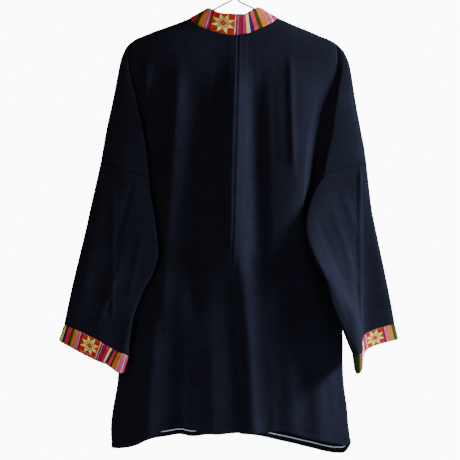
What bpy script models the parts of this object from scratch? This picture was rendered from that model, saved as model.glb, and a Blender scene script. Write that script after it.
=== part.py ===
# Hmong embroidered jacket seen from its back, hung on a wire hanger.
# Metres, +Z up. The back of the jacket faces -Y, its front faces +Y.
# The origin is the inside top of the hanger's hook. Tables are in millimetres:
# "out" runs from the middle plane to the side, "drop" runs down from the fork of the hanger,
# "depth" is negative towards the back of the jacket.

import math

import bmesh
import bpy
import numpy as np

MM = 0.001

# Driving dimensions, millimetres
BODY_WALL = 1.2
BAND_WALL = 1.5
SEAM_INSET = 0.25
FORK_BELOW_HOOK = 86.0
UNDERARM_DROP = 490.0
SHOULDER_ROUND = 3.0
WIRE_RADIUS = 1.6
WIRE_CLEAR = 0.35

HOOK_RADIUS = 20.0
HOOK_START_ANGLE = -52.0
HOOK_END_ANGLE = 197.0
TWIST_TURNS = 2.5
TWIST_PITCH = 4.2
TWIST_GAP = 0.45
BAR_DROP = 114.0
ROUND_STEPS = 12
SHOULDER_WIRE_STEPS = 10
HOOK_STEPS = 22
# Where the wire bends: x and drop below the hook, then at the fork before and after the twist,
# out and drop along the shoulders, and from the shoulder's end back to the bar
WIRE_NECK = [(6.5, -38.0), (2.0, -30.0), (0.0, -24.0), (0.0, -16.0), (0.0, -8.5), (-1.6, -3.6),
             (-6.0, 0.2)]
WIRE_FORK = [(8.0, 2.6), (5.0, -0.6), (4.0, -4.0)]
WIRE_SLOPE = [(50.0, 23.4), (68.0, 31.6)]
WIRE_END_BEND = [(0.2, 4.0), (-2.2, -4.5), (-6.5, -1.0), (-12.0, 0.0)]
TWIST_TOP = -8.0

# Outer line of the shoulder, from the fork of the hanger to the rounded shoulder tip
RIDGE = {
    "left": [(0, 0), (48, 19), (70, 28.5), (87, 36), (112, 45.6), (133, 53.2), (154, 60.8),
             (173, 68.4), (190, 76), (200, 84), (207, 92), (211, 100)],
    "right": [(0, 0), (46, 18), (67, 28), (82, 35), (106, 45.6), (124, 53.2), (143, 60.8),
              (160, 68.4), (179, 76), (192, 84), (201, 92), (207, 99)],
}
NECK_POINT = {"left": (87, 36), "right": (82, 35)}

# Neck seam of the back: x, drop
BACK_NECK = [(-87, 36), (-76, 45.6), (-64, 52.8), (-51, 57.6), (-35, 62.3), (-21, 66.1),
             (-4, 68.4), (15, 66.9), (31, 63.1), (47, 55.9), (62, 48.8), (74, 42), (82, 35)]
# Neck seam of each front: out, drop
FRONT_NECK = [(0, 124), (16, 121), (34, 113), (52, 99), (68, 79), (79, 57), (82, 46), (87, 36)]

# Wandering centre back seam: drop, x
CENTRE_BACK = [(60, 6), (150, 4), (285, 0), (443, -4), (545, -9), (660, -3), (792, 5), (830, 3)]
# Front edge of each half: drop, out
FRONT_EDGE = [(120, 1.5), (300, 3), (500, 5), (700, 8), (860, 11)]

# Side seam below the underarm: drop, out, depth
SIDE_SEAM = {
    "left": [(490, 147, 0), (500, 153, 2.5), (517, 166, 4), (545, 184, 5), (570, 197, 6), (600, 208, 6),
             (640, 217, 7), (690, 221, 7), (730, 224, 6), (775, 232, 4), (810, 236, 3),
             (852, 234.5, 2)],
    "right": [(490, 158, 0), (520, 172, 0), (545, 183, 0), (575, 194, 1), (605, 202, 2),
              (640, 205, 3), (690, 205, 3), (730, 207, 3), (775, 213, 2), (810, 216, 2),
              (845, 221, 1)],
}
SIDE_CORNER_DROP = {"left": 851.0, "right": 842.0}

# Hem lines: x, drop
BACK_HEM = [(-235, 851), (-215, 851), (-188, 845), (-158, 829), (-133, 815), (-106, 808),
            (-84, 812), (-64, 820), (-40, 823), (0, 820), (55, 820), (86, 817), (110, 822),
            (137, 831), (165, 837), (194, 843), (212, 846), (221, 842)]
FRONT_HEM = [(-235, 851), (-215, 850), (-188, 846), (-158, 836), (-133, 832), (-104, 828),
             (-84, 832), (-55, 829), (0, 828), (50, 832), (86, 840), (118, 847),
             (148, 854), (175, 860), (194, 862), (212, 857), (221, 842)]

# Half depth of the body at its middle: drop, back, front
BODY_DEPTH = [(30, 11, 12), (70, 18, 19), (150, 23, 26), (300, 27, 31), (490, 29, 34),
              (660, 30, 35), (860, 28, 33)]

# Soft vertical folds: x and drop of the top, x and drop of the bottom, height, half width
BACK_FOLDS = [
    (2, 60, -2, 560, 8.0, 24),
    (12, 440, 36, 900, 9.0, 17),
    (46, 110, 50, 620, -8.0, 20),
    (124, 105, 130, 520, 9.0, 30),
    (96, 540, 112, 900, 4.0, 18),
    (152, 480, 162, 900, 5.0, 19),
    (-104, 105, -140, 620, 9.0, 16),
    (-66, 130, -80, 640, -5.0, 19),
    (-166, 95, -170, 350, 3.8, 8),
    (-150, 560, -172, 900, 6.5, 18),
    (-104, 620, -98, 900, -4.0, 18),
    (-62, 580, -56, 900, 3.5, 15),
]
FRONT_FOLDS = [
    (-105, 150, -130, 700, 6.0, 17),
    (-60, 160, -62, 880, -5.0, 20),
    (60, 150, 66, 880, -5.0, 18),
    (108, 140, 132, 720, 6.0, 16),
    (-150, 640, -160, 880, 6.0, 20),
    (150, 600, 160, 880, 7.0, 20),
]

# Arm part of the panels, one row for each section between shoulder tip and armhole.
# Points: over the arm, crease of the back, back fold, inside of the fold,
# valley beside the body, front of the arm
ARM = {
    "left": [
        [(211, 100, 0), (207, 92, -2.7), (203, 86.5, -3), (200.5, 84, -3), (198, 82, -3),
         (205, 89, 3)],
        [(217, 116, 0), (211.5, 115, -4), (205, 118, -5.5), (201.5, 128, -4.5),
         (198, 140, -3), (208, 120, 4)],
        [(230, 182, 0), (211, 184, -9), (190, 184, -12), (184, 206, -8), (178, 230, -3),
         (206, 190, 8)],
        [(245, 252, 0), (210, 256, -13), (175, 255, -17), (168, 300, -11), (163, 345, -3),
         (207, 270, 10)],
        [(251, 287, 0), (214, 291, -14), (169.5, 302, -18), (160, 366, -12), (153, 430, -3),
         (206, 315, 11)],
        [(255.5, 313.5, 0), (218, 318, -15), (165, 346, -18), (156, 418, -12), (147, 490, 0),
         (206, 365, 11)],
    ],
    "right": [
        [(207, 99, 0), (203.5, 94.5, -2.7), (199, 90, -3), (195.5, 87, -3), (192, 84, -3),
         (199, 90, 3)],
        [(216, 120, 0), (212, 119, -4), (204, 118, -5), (199, 124, -4.5), (194, 130, -3),
         (205, 122, 4)],
        [(228, 190, 0), (221, 190, -7), (194, 190, -12), (180, 203, -7.5), (167, 215, -3),
         (204, 196, 8)],
        [(240, 255, 0), (233, 255, -9), (184, 262, -15), (164, 299, -9.5), (149, 335, -3),
         (204, 276, 10)],
        [(245.5, 283, 0), (237, 284, -10), (176, 298, -16), (157, 358, -11), (148, 420, -3),
         (204, 320, 11)],
        [(249, 308, 0), (239, 310, -10), (171, 332, -17), (151, 405, -13), (158, 490, 0),
         (205, 362, 11)],
    ],
}

# Sleeves, one row for each section between armhole and cuff seam.
# Points: over the arm, crease of the back, edge, inside of the edge, underarm seam, front
SLEEVE = {
    "left": [
        [(255.5, 313.5, 0), (218, 318, -15), (165, 346, -18), (156, 418, -12), (147, 490, 0),
         (206, 365, 11)],
        [(264, 350, 0), (221, 356, -15), (159, 387, -19), (152.5, 442, -15), (150, 496, -8),
         (208, 398, 10)],
        [(273, 390, -1), (226, 398, -16), (153, 434, -20), (150.5, 472, -18), (155, 507, -13),
         (212, 434, 8)],
        [(283, 436, -2), (233, 449, -16), (149, 484, -21), (153, 508, -20), (164, 525, -15),
         (219, 476, 6)],
        [(296, 490, -3), (243, 510, -16), (185, 530, -20), (172, 543, -20), (178, 553, -16),
         (230, 528, 7)],
        [(308, 540, -4), (253, 564, -16), (205, 582, -21), (191, 589, -22), (194, 597, -18),
         (241, 578, 6)],
        [(317, 582, -5), (261, 606, -17), (216, 627, -22), (201, 632, -24), (200, 639, -20),
         (250, 618, 5)],
        [(324, 617.5, -5), (268, 641, -17), (226, 665, -22), (209, 671, -24), (202, 674.5, -20),
         (259, 652, 4)],
    ],
    "right": [
        [(249, 308, 0), (239, 310, -10), (171, 332, -17), (151, 405, -13), (158, 490, 0),
         (205, 362, 11)],
        [(254, 352, 0), (239.5, 354, -12), (150, 366, -22), (146, 428, -18), (159, 497, -8),
         (208, 400, 10)],
        [(260, 400, 0), (239.5, 402, -13), (137, 407, -32), (145, 457, -26), (163, 507, -15),
         (212, 440, 9)],
        [(270, 450, 0), (239.5, 452, -13), (138, 450, -42), (151, 488, -35), (167, 518, -25),
         (217, 484, 8)],
        [(282, 506, 0), (239.5, 510, -12), (161, 503, -52), (167, 522, -50), (178, 538, -43),
         (225, 530, 9)],
        [(293, 560, 0), (240, 569, -11), (203, 566, -50), (189, 574, -56),
         (189, 589, -53), (232, 576, 9)],
        [(299, 592, 0), (241.5, 603, -12), (227, 612, -50), (213, 622, -56),
         (206, 634, -52), (237, 610, 9)],
        [(303, 616.5, 0), (242, 636, -13), (239, 667, -46), (231.5, 670, -52),
         (223.5, 672, -44), (236, 645, 10)],
    ],
}

# Lower edge of the cuffs, the same points
CUFF_EDGE = {
    "left": [(334, 647, -5), (277, 673, -18), (241, 693, -22), (221, 706.5, -24),
             (211, 706, -20), (268, 684, 4)],
    "right": [(310, 644.5, 0), (244, 667, -13), (238.5, 699, -47), (233, 706, -52),
              (227, 706, -45), (241, 664, 10)],
}

# Top edge of the collar on the back: x, drop
COLLAR_TOP = [(-52, 15), (-40, 19.8), (-35, 23), (-21, 26.8), (-4, 27.6), (10.5, 28.2),
              (21.5, 26.8), (26, 23.4), (32, 19.8), (45.5, 13.5)]
COLLAR_BACK_DEPTH = 15.0
COLLAR_SPREAD = 0.9
COLLAR_TURN = 12.0
COLLAR_LEAN_POWER = 1.6
COLLAR_BULGE = 0.35
COLLAR_FOLD_HALF = 3.6
# How the band stands off the neck seam at the shoulder and at its front end: inwards, up, back
COLLAR_LEAN_SHOULDER = (35.5, 21.2, 0.0)
COLLAR_LEAN_FRONT = (0.0, 38.5, 4.0)

# Where the rows and columns of the cloth lie
SHOULDER_ROWS = (0.0, 0.25, 0.88, 3.0, 9.0)
NECK_ROWS = (0.0, 1.5, 3.5, 6.0, 9.0)
ARM_ROWS = (0.06, 0.14, 0.25, 0.37, 0.5, 0.63, 0.76, 0.87, 0.95, 1.0)
BODY_ROWS = (0.05, 0.14, 0.28, 0.43, 0.58, 0.73, 0.87, 1.0)
NECK_COLUMNS = (0.0, 0.2, 0.4, 0.6, 0.8, 0.93, 0.985)
SIDE_COLUMNS = (0.0, 0.03, 0.15, 0.33, 0.5, 0.67, 0.83, 0.92, 0.965, 0.987, 1.0)
BACK_STEPS = ((0.0, 0.1, 0.25, 0.5, 0.75), (0.0, 0.3, 0.65, 0.88), (0.0, 0.25, 0.6),
              (0.0, 0.5), (0.0,))
FRONT_STEPS = ((0.0, 0.12, 0.35, 0.68), (0.0, 0.35, 0.65, 0.85, 0.95), (0.0,))
CREASE_SOFTNESS = {"over": 2.2, "edge": (0.35, 1.0), "under": (0.5, 1.8)}
VALLEY_LEAN = (-14.0, 0.0, -2.0)
SHARP_EDGE_SHARE = 0.35
SHORTEST_KNOT = 0.4
UNDERARM_NOTCH = 2

# How the body swells between its edges, and how its folds fade
LENS_REACH = 2.2
LENS_ROUND = 0.85
FOLD_FADE = 70.0
CALM_SIDE = 0.12
CALM_TOP = (12.0, 60.0)
TOP_CENTRE_DROP = {"back": 68.0, "front": 124.0}
SLEEVE_ROWS = (0.0, 0.04, 0.14, 0.28, 0.42, 0.56, 0.7, 0.84, 0.94, 1.0)
CUFF_ROWS = (0.0, 0.5, 1.0)
COLLAR_ROWS = (0.0, 0.35, 0.7, 1.0)

SIDE_SIGN = {"left": -1.0, "right": 1.0}
VALLEY = 4

COLOURS = {
    "navy_cotton": ((0.010, 0.011, 0.020, 1.0), 0.85, 0.0),
    "woven_band": ((0.52, 0.07, 0.06, 1.0), 0.75, 0.0),
    "wire": ((0.30, 0.30, 0.31, 1.0), 0.35, 1.0),
}


def curve(knots, values, at, softness=None):
    """Smooth curve through the rows of a table; a softness below one sharpens it at a row."""
    knots = np.asarray(knots, float)
    values = np.asarray(values, float)
    at = np.clip(np.asarray(at, float), knots[0], knots[-1])
    slopes = np.gradient(values, knots, axis=0)
    if softness is not None:
        slopes = slopes * np.asarray(softness)[:, None]
    spot = np.clip(np.searchsorted(knots, at, side="right") - 1, 0, len(knots) - 2)
    span = knots[spot + 1] - knots[spot]
    t = (at - knots[spot]) / span
    if values.ndim > 1:
        t = t[..., None]
        span = span[..., None]
    rise = values[spot + 1] - values[spot]
    return (values[spot] + t * span * slopes[spot]
            + t ** 2 * (3 * rise - span * (2 * slopes[spot] + slopes[spot + 1]))
            + t ** 3 * (span * (slopes[spot] + slopes[spot + 1]) - 2 * rise))


def table(rows, at):
    """The other columns of a table, read at a place of its first column."""
    rows = np.asarray(rows, float)
    found = curve(rows[:, 0], rows[:, 1:], at)
    return found[..., 0] if rows.shape[1] == 2 else found


def section(points, beyond_back, beyond_front, ease=0.0):
    """Points round one section of an arm: its back from over the arm to the underarm,
    and its front from the underarm to over the arm. Ease one rounds the folds fully."""
    over, crease, edge, inner, under_back, under_front, front = np.asarray(points, float)
    round_over = CREASE_SOFTNESS["over"]
    sharp_edge, sharp_under = [low + ease * (high - low) for low, high in
                               (CREASE_SOFTNESS["edge"], CREASE_SOFTNESS["under"])]
    back_line = (front, over, crease, edge, inner, under_back, beyond_back)
    front_line = (beyond_front, under_front, front, over, crease)
    back_soft = (1, round_over, 1, sharp_edge, 1, sharp_under, 1)
    front_soft = (1, sharp_under, 1, round_over, 1)
    sides = []
    for line, steps, softness in ((back_line, BACK_STEPS, back_soft),
                                  (front_line, FRONT_STEPS, front_soft)):
        line = np.array(line)
        length = np.linalg.norm(np.diff(line, axis=0), axis=1)
        knots = np.concatenate([[0], np.cumsum(np.sqrt(np.maximum(length, SHORTEST_KNOT)))])
        spots = []
        for number, fractions in enumerate(steps):
            start = knots[number + 1]
            spots += [start + f * (knots[number + 2] - start) for f in fractions]
        sides.append(curve(knots, line, np.array(spots), softness))
    return sides


def half_width(side, drop):
    """Half width of the body: shoulder line, valley beside the arm, then side seam."""
    ridge = [(d, o) for o, d in RIDGE[side]][:-2]
    valley = [(row[VALLEY][1], row[VALLEY][0]) for row in ARM[side]][1:-1]
    seam = [(d, o) for d, o, depth in SIDE_SEAM[side]]
    return table(ridge + valley + seam, drop)


def fold_depth(folds, x, drop):
    """Sum of soft folds, each a straight ridge that fades in and out along its length."""
    total = np.zeros_like(x)
    for top_x, top, bottom_x, bottom, height, width in folds:
        along = np.clip((drop - top) / (bottom - top), 0, 1)
        middle = top_x + along * (bottom_x - top_x)
        ease = (np.clip((drop - top) / FOLD_FADE, 0, 1)
                * np.clip((bottom - drop) / FOLD_FADE, 0, 1))
        ease = ease * ease * (3 - 2 * ease)
        total += height * ease * np.exp(-((x - middle) / width) ** 2)
    return total


def body_depth(side, face, x, drop, fraction, edge_depth, edge_distance, shift):
    """Depth of the body cloth off the middle plane, back or front."""
    out = np.abs(x)
    ridge = table(RIDGE[side], out)
    below = np.clip(drop - ridge, 0, SHOULDER_ROUND)
    hug = np.sqrt(np.maximum(SHOULDER_ROUND ** 2 - (SHOULDER_ROUND - below) ** 2, 0))
    reach = np.clip(out / half_width(side, drop), 0, 1)
    belly = table(BODY_DEPTH, drop)[..., 0 if face == "back" else 1]
    lens = belly * (1 - reach ** LENS_REACH) ** LENS_ROUND
    near = np.clip(edge_distance / SHOULDER_ROUND, 0, 1)
    wall = edge_depth + (SHOULDER_ROUND - edge_depth) * np.sqrt(1 - (1 - near) ** 2)
    calm = (np.clip((1 - fraction) / CALM_SIDE, 0, 1)
            * np.clip((drop - ridge - CALM_TOP[0]) / CALM_TOP[1], 0, 1))
    folds = fold_depth(BACK_FOLDS if face == "back" else FRONT_FOLDS, x, drop) * calm
    deep = np.minimum(hug, wall) + lens + folds
    sign = -1.0 if face == "back" else 1.0
    return sign * deep + shift * fraction ** 3


def arm_rows(side):
    """Row places: millimetres below the shoulder line first, then fractions to the underarm."""
    start = ARM[side][0][VALLEY][1]
    tall = UNDERARM_DROP - start
    return np.array([h / tall for h in SHOULDER_ROWS] + list(ARM_ROWS)), start, tall


def arm_sections(side):
    """Sections of the arm part, back and front, from shoulder tip to armhole."""
    sign = SIDE_SIGN[side]
    places, start, tall = arm_rows(side)
    stations = np.array(ARM[side], float)
    knots = (stations[:, VALLEY, 1] - start) / tall
    rows = curve(knots, stations.reshape(len(stations), -1), places).reshape(-1, 6, 3)
    backs, fronts = [], []
    for number, points in enumerate(rows):
        over, crease, edge, inner, valley, front = points
        height = min(SHOULDER_ROUND, places[number] * tall)
        hug = math.sqrt(SHOULDER_ROUND ** 2 - (SHOULDER_ROUND - height) ** 2) / SHOULDER_ROUND
        if number == 0:
            points[:, 1] = table(RIDGE[side], points[:, 0])
        last = number == len(rows) - 1
        if not last:
            valley[2] = -SHOULDER_ROUND
        mirror = valley * np.array([1, 1, -1])
        lean = np.array(VALLEY_LEAN)
        inner_back = front if last else valley + lean
        inner_front = inner if last else mirror + lean * np.array([1, 1, -1])
        back, face = section((over, crease, edge, inner, valley, mirror, front),
                             inner_back, inner_front)
        for line in (back, face):
            line[:, 2] *= hug
            line[:, 0] *= sign
        backs.append(back)
        fronts.append(face)
    return np.array(backs), np.array(fronts)


def centre_line(side, face, drop):
    """Where a half of the back or front begins: the centre back seam or the front edge."""
    if face == "back":
        return float(table(CENTRE_BACK, drop))
    return SIDE_SIGN[side] * float(table(FRONT_EDGE, drop))


def body_grid(side, face, arm):
    """Rows and columns of one half of the back or front between centre and arm or side seam."""
    sign = SIDE_SIGN[side]
    places, start, tall = arm_rows(side)
    valley = arm[:, -1] if face == "back" else arm[:, 0]
    neck_out, neck_drop = NECK_POINT[side]

    top_centre = centre_line(side, face, TOP_CENTRE_DROP[face])
    whole = valley[0, 0] - top_centre
    neck_share = (sign * neck_out - top_centre) / whole
    shares = [neck_share * f for f in NECK_COLUMNS]
    shares += [neck_share + (1 - neck_share) * f for f in SIDE_COLUMNS]
    shares = np.array(shares)
    top_x = top_centre + shares * whole
    top_drop = table(RIDGE[side], np.abs(top_x))
    inside = np.arange(len(shares)) < len(NECK_COLUMNS)
    if face == "back":
        neck = table(BACK_NECK, top_x)
    else:
        scale = FRONT_NECK[-1][0] / neck_out
        neck = table(FRONT_NECK, np.abs(top_x) * scale)
    top_drop = np.where(inside, neck, top_drop)
    top_drop[len(NECK_COLUMNS)] = neck_drop
    top_drop[-1] = valley[0, 1]

    neck_places = np.array([h / tall for h in NECK_ROWS] + list(ARM_ROWS))
    rows = []
    for number, place in enumerate(places):
        share = np.where(inside, neck_places[number], place)
        drop = top_drop + share * (UNDERARM_DROP - top_drop)
        drop[-1] = valley[number, 1]
        centre = centre_line(side, face, drop[0])
        x = centre + shares * (valley[number, 0] - centre)
        distance = np.abs(valley[number, 0] - x)
        y = body_depth(side, face, x, drop, shares, abs(valley[number, 2]), distance, 0.0)
        if number == 0:
            y[len(NECK_COLUMNS):] = 0.0
        y[-1] = valley[number, 2]
        rows.append(np.stack([x, drop, y], axis=1))

    hem_table = BACK_HEM if face == "back" else FRONT_HEM
    corner = SIDE_CORNER_DROP[side]
    for place in BODY_ROWS:
        side_drop = UNDERARM_DROP + place * (corner - UNDERARM_DROP)
        out, shift = table(SIDE_SEAM[side], side_drop)
        x = shares * sign * out
        for step in range(2):
            hem = table(hem_table, x)
            hem[-1] = corner
            drop = UNDERARM_DROP + place * (hem - UNDERARM_DROP)
            centre = centre_line(side, face, drop[0])
            x = centre + shares * (sign * out - centre)
        distance = np.abs(sign * out - x)
        y = body_depth(side, face, x, drop, shares, 0.0, distance, shift)
        y[-1] = shift
        rows.append(np.stack([x, drop, y], axis=1))
    return np.array(rows)


def sleeve_grid(side, places):
    """Rings of the sleeve, each running round from over the arm and back to it."""
    stations = np.array(SLEEVE[side], float)
    knots = np.linspace(0, 1, len(stations))
    rows = curve(knots, stations.reshape(len(stations), -1), np.array(places))
    ease = np.clip(np.array(places) / SHARP_EDGE_SHARE, 0, 1)
    return ring_rows(side, rows.reshape(-1, 6, 3), ease)


def cuff_grid(side):
    """Rings of the cuff from its seam to its lower edge."""
    top = np.array(SLEEVE[side][-1], float)
    bottom = np.array(CUFF_EDGE[side], float)
    rows = np.array([top + f * (bottom - top) for f in CUFF_ROWS])
    return ring_rows(side, rows, np.ones(len(rows)))


def ring_rows(side, rows, eases):
    rings = []
    for (over, crease, edge, inner, under, front), ease in zip(rows, eases):
        back, face = section((over, crease, edge, inner, under, under, front),
                             front, inner, ease)
        ring = np.concatenate([back, face[1:]])
        ring[:, 0] *= SIDE_SIGN[side]
        rings.append(ring)
    return np.array(rings)


def collar_grid(bodies):
    """Band from its left front end round the back of the neck to its right front end."""
    count = len(NECK_COLUMNS) + 1
    front_left = bodies["left", "front"][0, :count]
    back_left = bodies["left", "back"][0, :count]
    back_right = bodies["right", "back"][0, :count]
    front_right = bodies["right", "front"][0, :count]
    base = np.concatenate([front_left, back_left[-2::-1], back_right[1:], front_right[-2::-1]])

    top = base.copy()
    middle = 2 * (count - 1)
    for number, (x, drop, y) in enumerate(base):
        side = "left" if number <= middle else "right"
        sign = SIDE_SIGN[side]
        corner = COLLAR_TOP[0] if side == "left" else COLLAR_TOP[-1]
        if (count - 1) <= number <= 3 * (count - 1):
            centre = base[middle, 0]
            share = (x - centre) / (sign * NECK_POINT[side][0] - centre)
            new_x = centre + share * (corner[0] - centre)
            new_drop = float(table(COLLAR_TOP, new_x))
            spread = 1 - share ** 2
            new_y = (-COLLAR_BACK_DEPTH * spread ** COLLAR_SPREAD
                     - COLLAR_FOLD_HALF * min(1, spread * COLLAR_TURN) ** 0.5)
            if number in (count - 1, 3 * (count - 1)):
                new_y = 0.0
        else:
            share = abs(x) / NECK_POINT[side][0]
            lean = [a + share ** COLLAR_LEAN_POWER * (b - a)
                    for a, b in zip(COLLAR_LEAN_FRONT, COLLAR_LEAN_SHOULDER)]
            shoulder_x = sign * NECK_POINT[side][0] + (corner[0] - sign * NECK_POINT[side][0])
            new_x = x + share ** COLLAR_LEAN_POWER * (shoulder_x - sign * NECK_POINT[side][0])
            new_drop = drop - lean[1]
            new_y = (y - lean[2] + (COLLAR_FOLD_HALF - SHOULDER_ROUND)
                     * min(1, (1 - share) * COLLAR_TURN))
        top[number] = (new_x, new_drop, new_y)
    rows = []
    for f in COLLAR_ROWS:
        row = base + f * (top - base)
        flat = np.clip(1 - np.abs(row[:, 2]) / COLLAR_TURN, 0, 1)
        row[:, 2] *= 1 + COLLAR_BULGE * math.sin(math.pi * f) * flat
        rows.append(row)
    return np.array(rows)


def key(point):
    return tuple(np.round(point, 5))


def grid_faces(grid, flip, left_out=()):
    """Corner points of the cells of a grid, all facing outwards."""
    faces = []
    for r in range(len(grid) - 1):
        for c in range(grid.shape[1] - 1):
            if (r, c) in left_out:
                continue
            corners = [grid[r, c], grid[r, c + 1], grid[r + 1, c + 1], grid[r + 1, c]]
            if flip:
                corners.reverse()
            faces.append([key(p) for p in corners])
    return faces


def clean_face(face):
    kept = [p for n, p in enumerate(face) if p != face[n - 1]]
    return kept if len(kept) > 2 else None


def to_metres(point):
    x, drop, y = point
    return np.array([x * MM, y * MM, -(drop + FORK_BELOW_HOOK) * MM])


def add_normals(normals, faces):
    for face in faces:
        points = [to_metres(p) for p in face]
        total = np.zeros(3)
        for n, point in enumerate(points):
            total += np.cross(point, points[(n + 1) % len(points)])
        for n, corner in enumerate(face):
            before = points[n - 1] - points[n]
            after = points[(n + 1) % len(points)] - points[n]
            size = np.linalg.norm(before) * np.linalg.norm(after)
            angle = math.acos(max(-1, min(1, float(before @ after) / size)))
            normals.setdefault(corner, np.zeros(3))
            normals[corner] += angle * total / np.linalg.norm(total)


def cloth_object(name, faces, normals, wall, material, group):
    """Closed solid of a piece of cloth, its edges drawn in from the seams."""
    corners = sorted({p for face in faces for p in face})
    index = {p: n for n, p in enumerate(corners)}
    points = np.array([to_metres(p) for p in corners])
    normal = np.array([normals[p] / np.linalg.norm(normals[p]) for p in corners])

    used = {}
    for face in faces:
        for n, p in enumerate(face):
            edge = (index[p], index[face[(n + 1) % len(face)]])
            used[edge] = used.get(edge, 0) + 1
    rim = [edge for edge in used if (edge[1], edge[0]) not in used]
    inward = {}
    for start, end in rim:
        for n in (start, end):
            across = np.cross(normal[n], points[end] - points[start])
            inward.setdefault(n, []).append(across / np.linalg.norm(across))
    moved = points.copy()
    for n, sides in inward.items():
        direction = sum(sides)
        direction /= np.linalg.norm(direction)
        reach = max(0.5, float(direction @ sides[0]))
        moved[n] += direction * SEAM_INSET * MM / reach
    points = moved

    outer = points + normal * wall * 0.5 * MM
    inner = points - normal * wall * 0.5 * MM
    count = len(corners)
    polygons = []
    for face in faces:
        numbers = [index[p] for p in face]
        polygons.append(numbers)
        polygons.append([n + count for n in reversed(numbers)])
    for start, end in rim:
        polygons.append([end, start, start + count, end + count])
    mesh = bpy.data.meshes.new(name)
    mesh.from_pydata([tuple(p) for p in np.concatenate([outer, inner])], [], polygons)
    mesh.validate()
    shape = bmesh.new()
    shape.from_mesh(mesh)
    bmesh.ops.triangulate(shape, faces=shape.faces[:])
    shape.to_mesh(mesh)
    shape.free()
    mesh.materials.append(material)
    new_object = bpy.data.objects.new(name, mesh)
    group.objects.link(new_object)
    return new_object


def wire_line():
    """Drop of the wire under each shoulder and its rounded end: out, drop."""
    rest = WIRE_RADIUS + WIRE_CLEAR + BODY_WALL / 2
    lines = {}
    for side in ("left", "right"):
        line = list(WIRE_SLOPE)
        tip = RIDGE[side][-1][0]
        for out in np.linspace(NECK_POINT[side][0] + 2, tip - 1, SHOULDER_WIRE_STEPS):
            slope = float(table(RIDGE[side], out + 1) - table(RIDGE[side], out - 1)) / 2
            length = math.hypot(1, slope)
            line.append((out - rest * slope / length,
                         float(table(RIDGE[side], out)) + rest / length))
        end_out, end_drop = line[-1]
        starts = [end_drop] + [BAR_DROP] * (len(WIRE_END_BEND) - 1)
        line += [(end_out + move, start + down)
                 for (move, down), start in zip(WIRE_END_BEND, starts)]
        lines[side] = line
    return lines


def hanger_object(material, group):
    """Bent wire with hook, shoulders, lower bar and the twist under the hook."""
    path = []
    top = -FORK_BELOW_HOOK + HOOK_RADIUS
    radius = HOOK_RADIUS + WIRE_RADIUS
    for angle in np.linspace(HOOK_END_ANGLE, HOOK_START_ANGLE, HOOK_STEPS):
        turn = math.radians(angle)
        path.append((radius * math.cos(turn), top - radius * math.sin(turn), 0.0))
    path += [(x, drop, 0.0) for x, drop in WIRE_NECK]
    lines = wire_line()
    path += [(-out, drop, 0.0) for out, drop in lines["left"]]
    path += [(out, drop, 0.0) for out, drop in reversed(lines["right"])]
    path += [(x, drop, 0.0) for x, drop in WIRE_FORK]
    around = 2 * WIRE_RADIUS + TWIST_GAP
    for step in range(int(TWIST_TURNS * ROUND_STEPS) + 1):
        turn = 2 * math.pi * step / ROUND_STEPS
        path.append((around * math.cos(turn), TWIST_TOP - TWIST_PITCH * step / ROUND_STEPS,
                     -around * math.sin(turn)))
    line = bpy.data.curves.new("hanger", "CURVE")
    line.dimensions = "3D"
    line.bevel_depth = WIRE_RADIUS * MM
    line.bevel_resolution = 2
    line.use_fill_caps = True
    spline = line.splines.new("POLY")
    spline.points.add(len(path) - 1)
    for point, place in zip(spline.points, path):
        point.co = (*to_metres(place), 1.0)
    line.materials.append(material)
    new_object = bpy.data.objects.new("hanger", line)
    group.objects.link(new_object)


def make_material(name, finish):
    colour, roughness, metallic = COLOURS[finish]
    made = bpy.data.materials.new(name)
    made.use_nodes = True
    shader = made.node_tree.nodes["Principled BSDF"]
    shader.inputs["Base Color"].default_value = colour
    shader.inputs["Roughness"].default_value = roughness
    shader.inputs["Metallic"].default_value = metallic
    return made


def cut_pieces():
    """Faces, wall and finish of every piece of cloth, joined only where they are sewn."""
    pieces = {}
    bodies = {}
    for side in ("left", "right"):
        arms = dict(zip(("back", "front"), arm_sections(side)))
        for face in ("back", "front"):
            grid = body_grid(side, face, arms[face])
            bodies[side, face] = grid
            arm = arms[face].copy()
            # The arm part takes its first column from the body's last one
            inner = -1 if face == "back" else 0
            grid[:len(arm), -1] = arm[:, inner]
            flip_body = (side == "left") != (face == "back")
            faces = grid_faces(grid, flip_body)
            faces += grid_faces(arm, not flip_body if face == "back" else flip_body)
            pieces[f"{face}_{side}"] = (faces, BODY_WALL, "navy_cotton")
        sleeve = sleeve_grid(side, SLEEVE_ROWS)
        sleeve[0] = np.concatenate([arms["back"][-1], arms["front"][-1][1:]])
        cuff = cuff_grid(side)
        cuff[0] = sleeve[-1]
        flip_ring = side == "left"
        under = arms["back"].shape[1] - 1
        notch = [(r, c) for r in range(UNDERARM_NOTCH)
                 for c in range(under - UNDERARM_NOTCH, under + UNDERARM_NOTCH)]
        pieces[f"sleeve_{side}"] = (grid_faces(sleeve, flip_ring, notch), BODY_WALL,
                                    "navy_cotton")
        pieces[f"cuff_{side}"] = (grid_faces(cuff, flip_ring), BAND_WALL, "woven_band")
    pieces["collar"] = (grid_faces(collar_grid(bodies), False), BAND_WALL, "woven_band")
    return pieces


def main():
    for old in list(bpy.data.objects):
        bpy.data.objects.remove(old, do_unlink=True)
    group = bpy.data.collections.new("hmong_embroidered_jacket")
    bpy.context.scene.collection.children.link(group)

    pieces = cut_pieces()
    normals = {}
    for name, (faces, wall, finish) in pieces.items():
        faces[:] = [f for f in map(clean_face, faces) if f]
        add_normals(normals, faces)
    for name, (faces, wall, finish) in pieces.items():
        cloth_object(name, faces, normals, wall, make_material(name, finish), group)
    hanger_object(make_material("hanger_wire", "wire"), group)


main()
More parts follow.
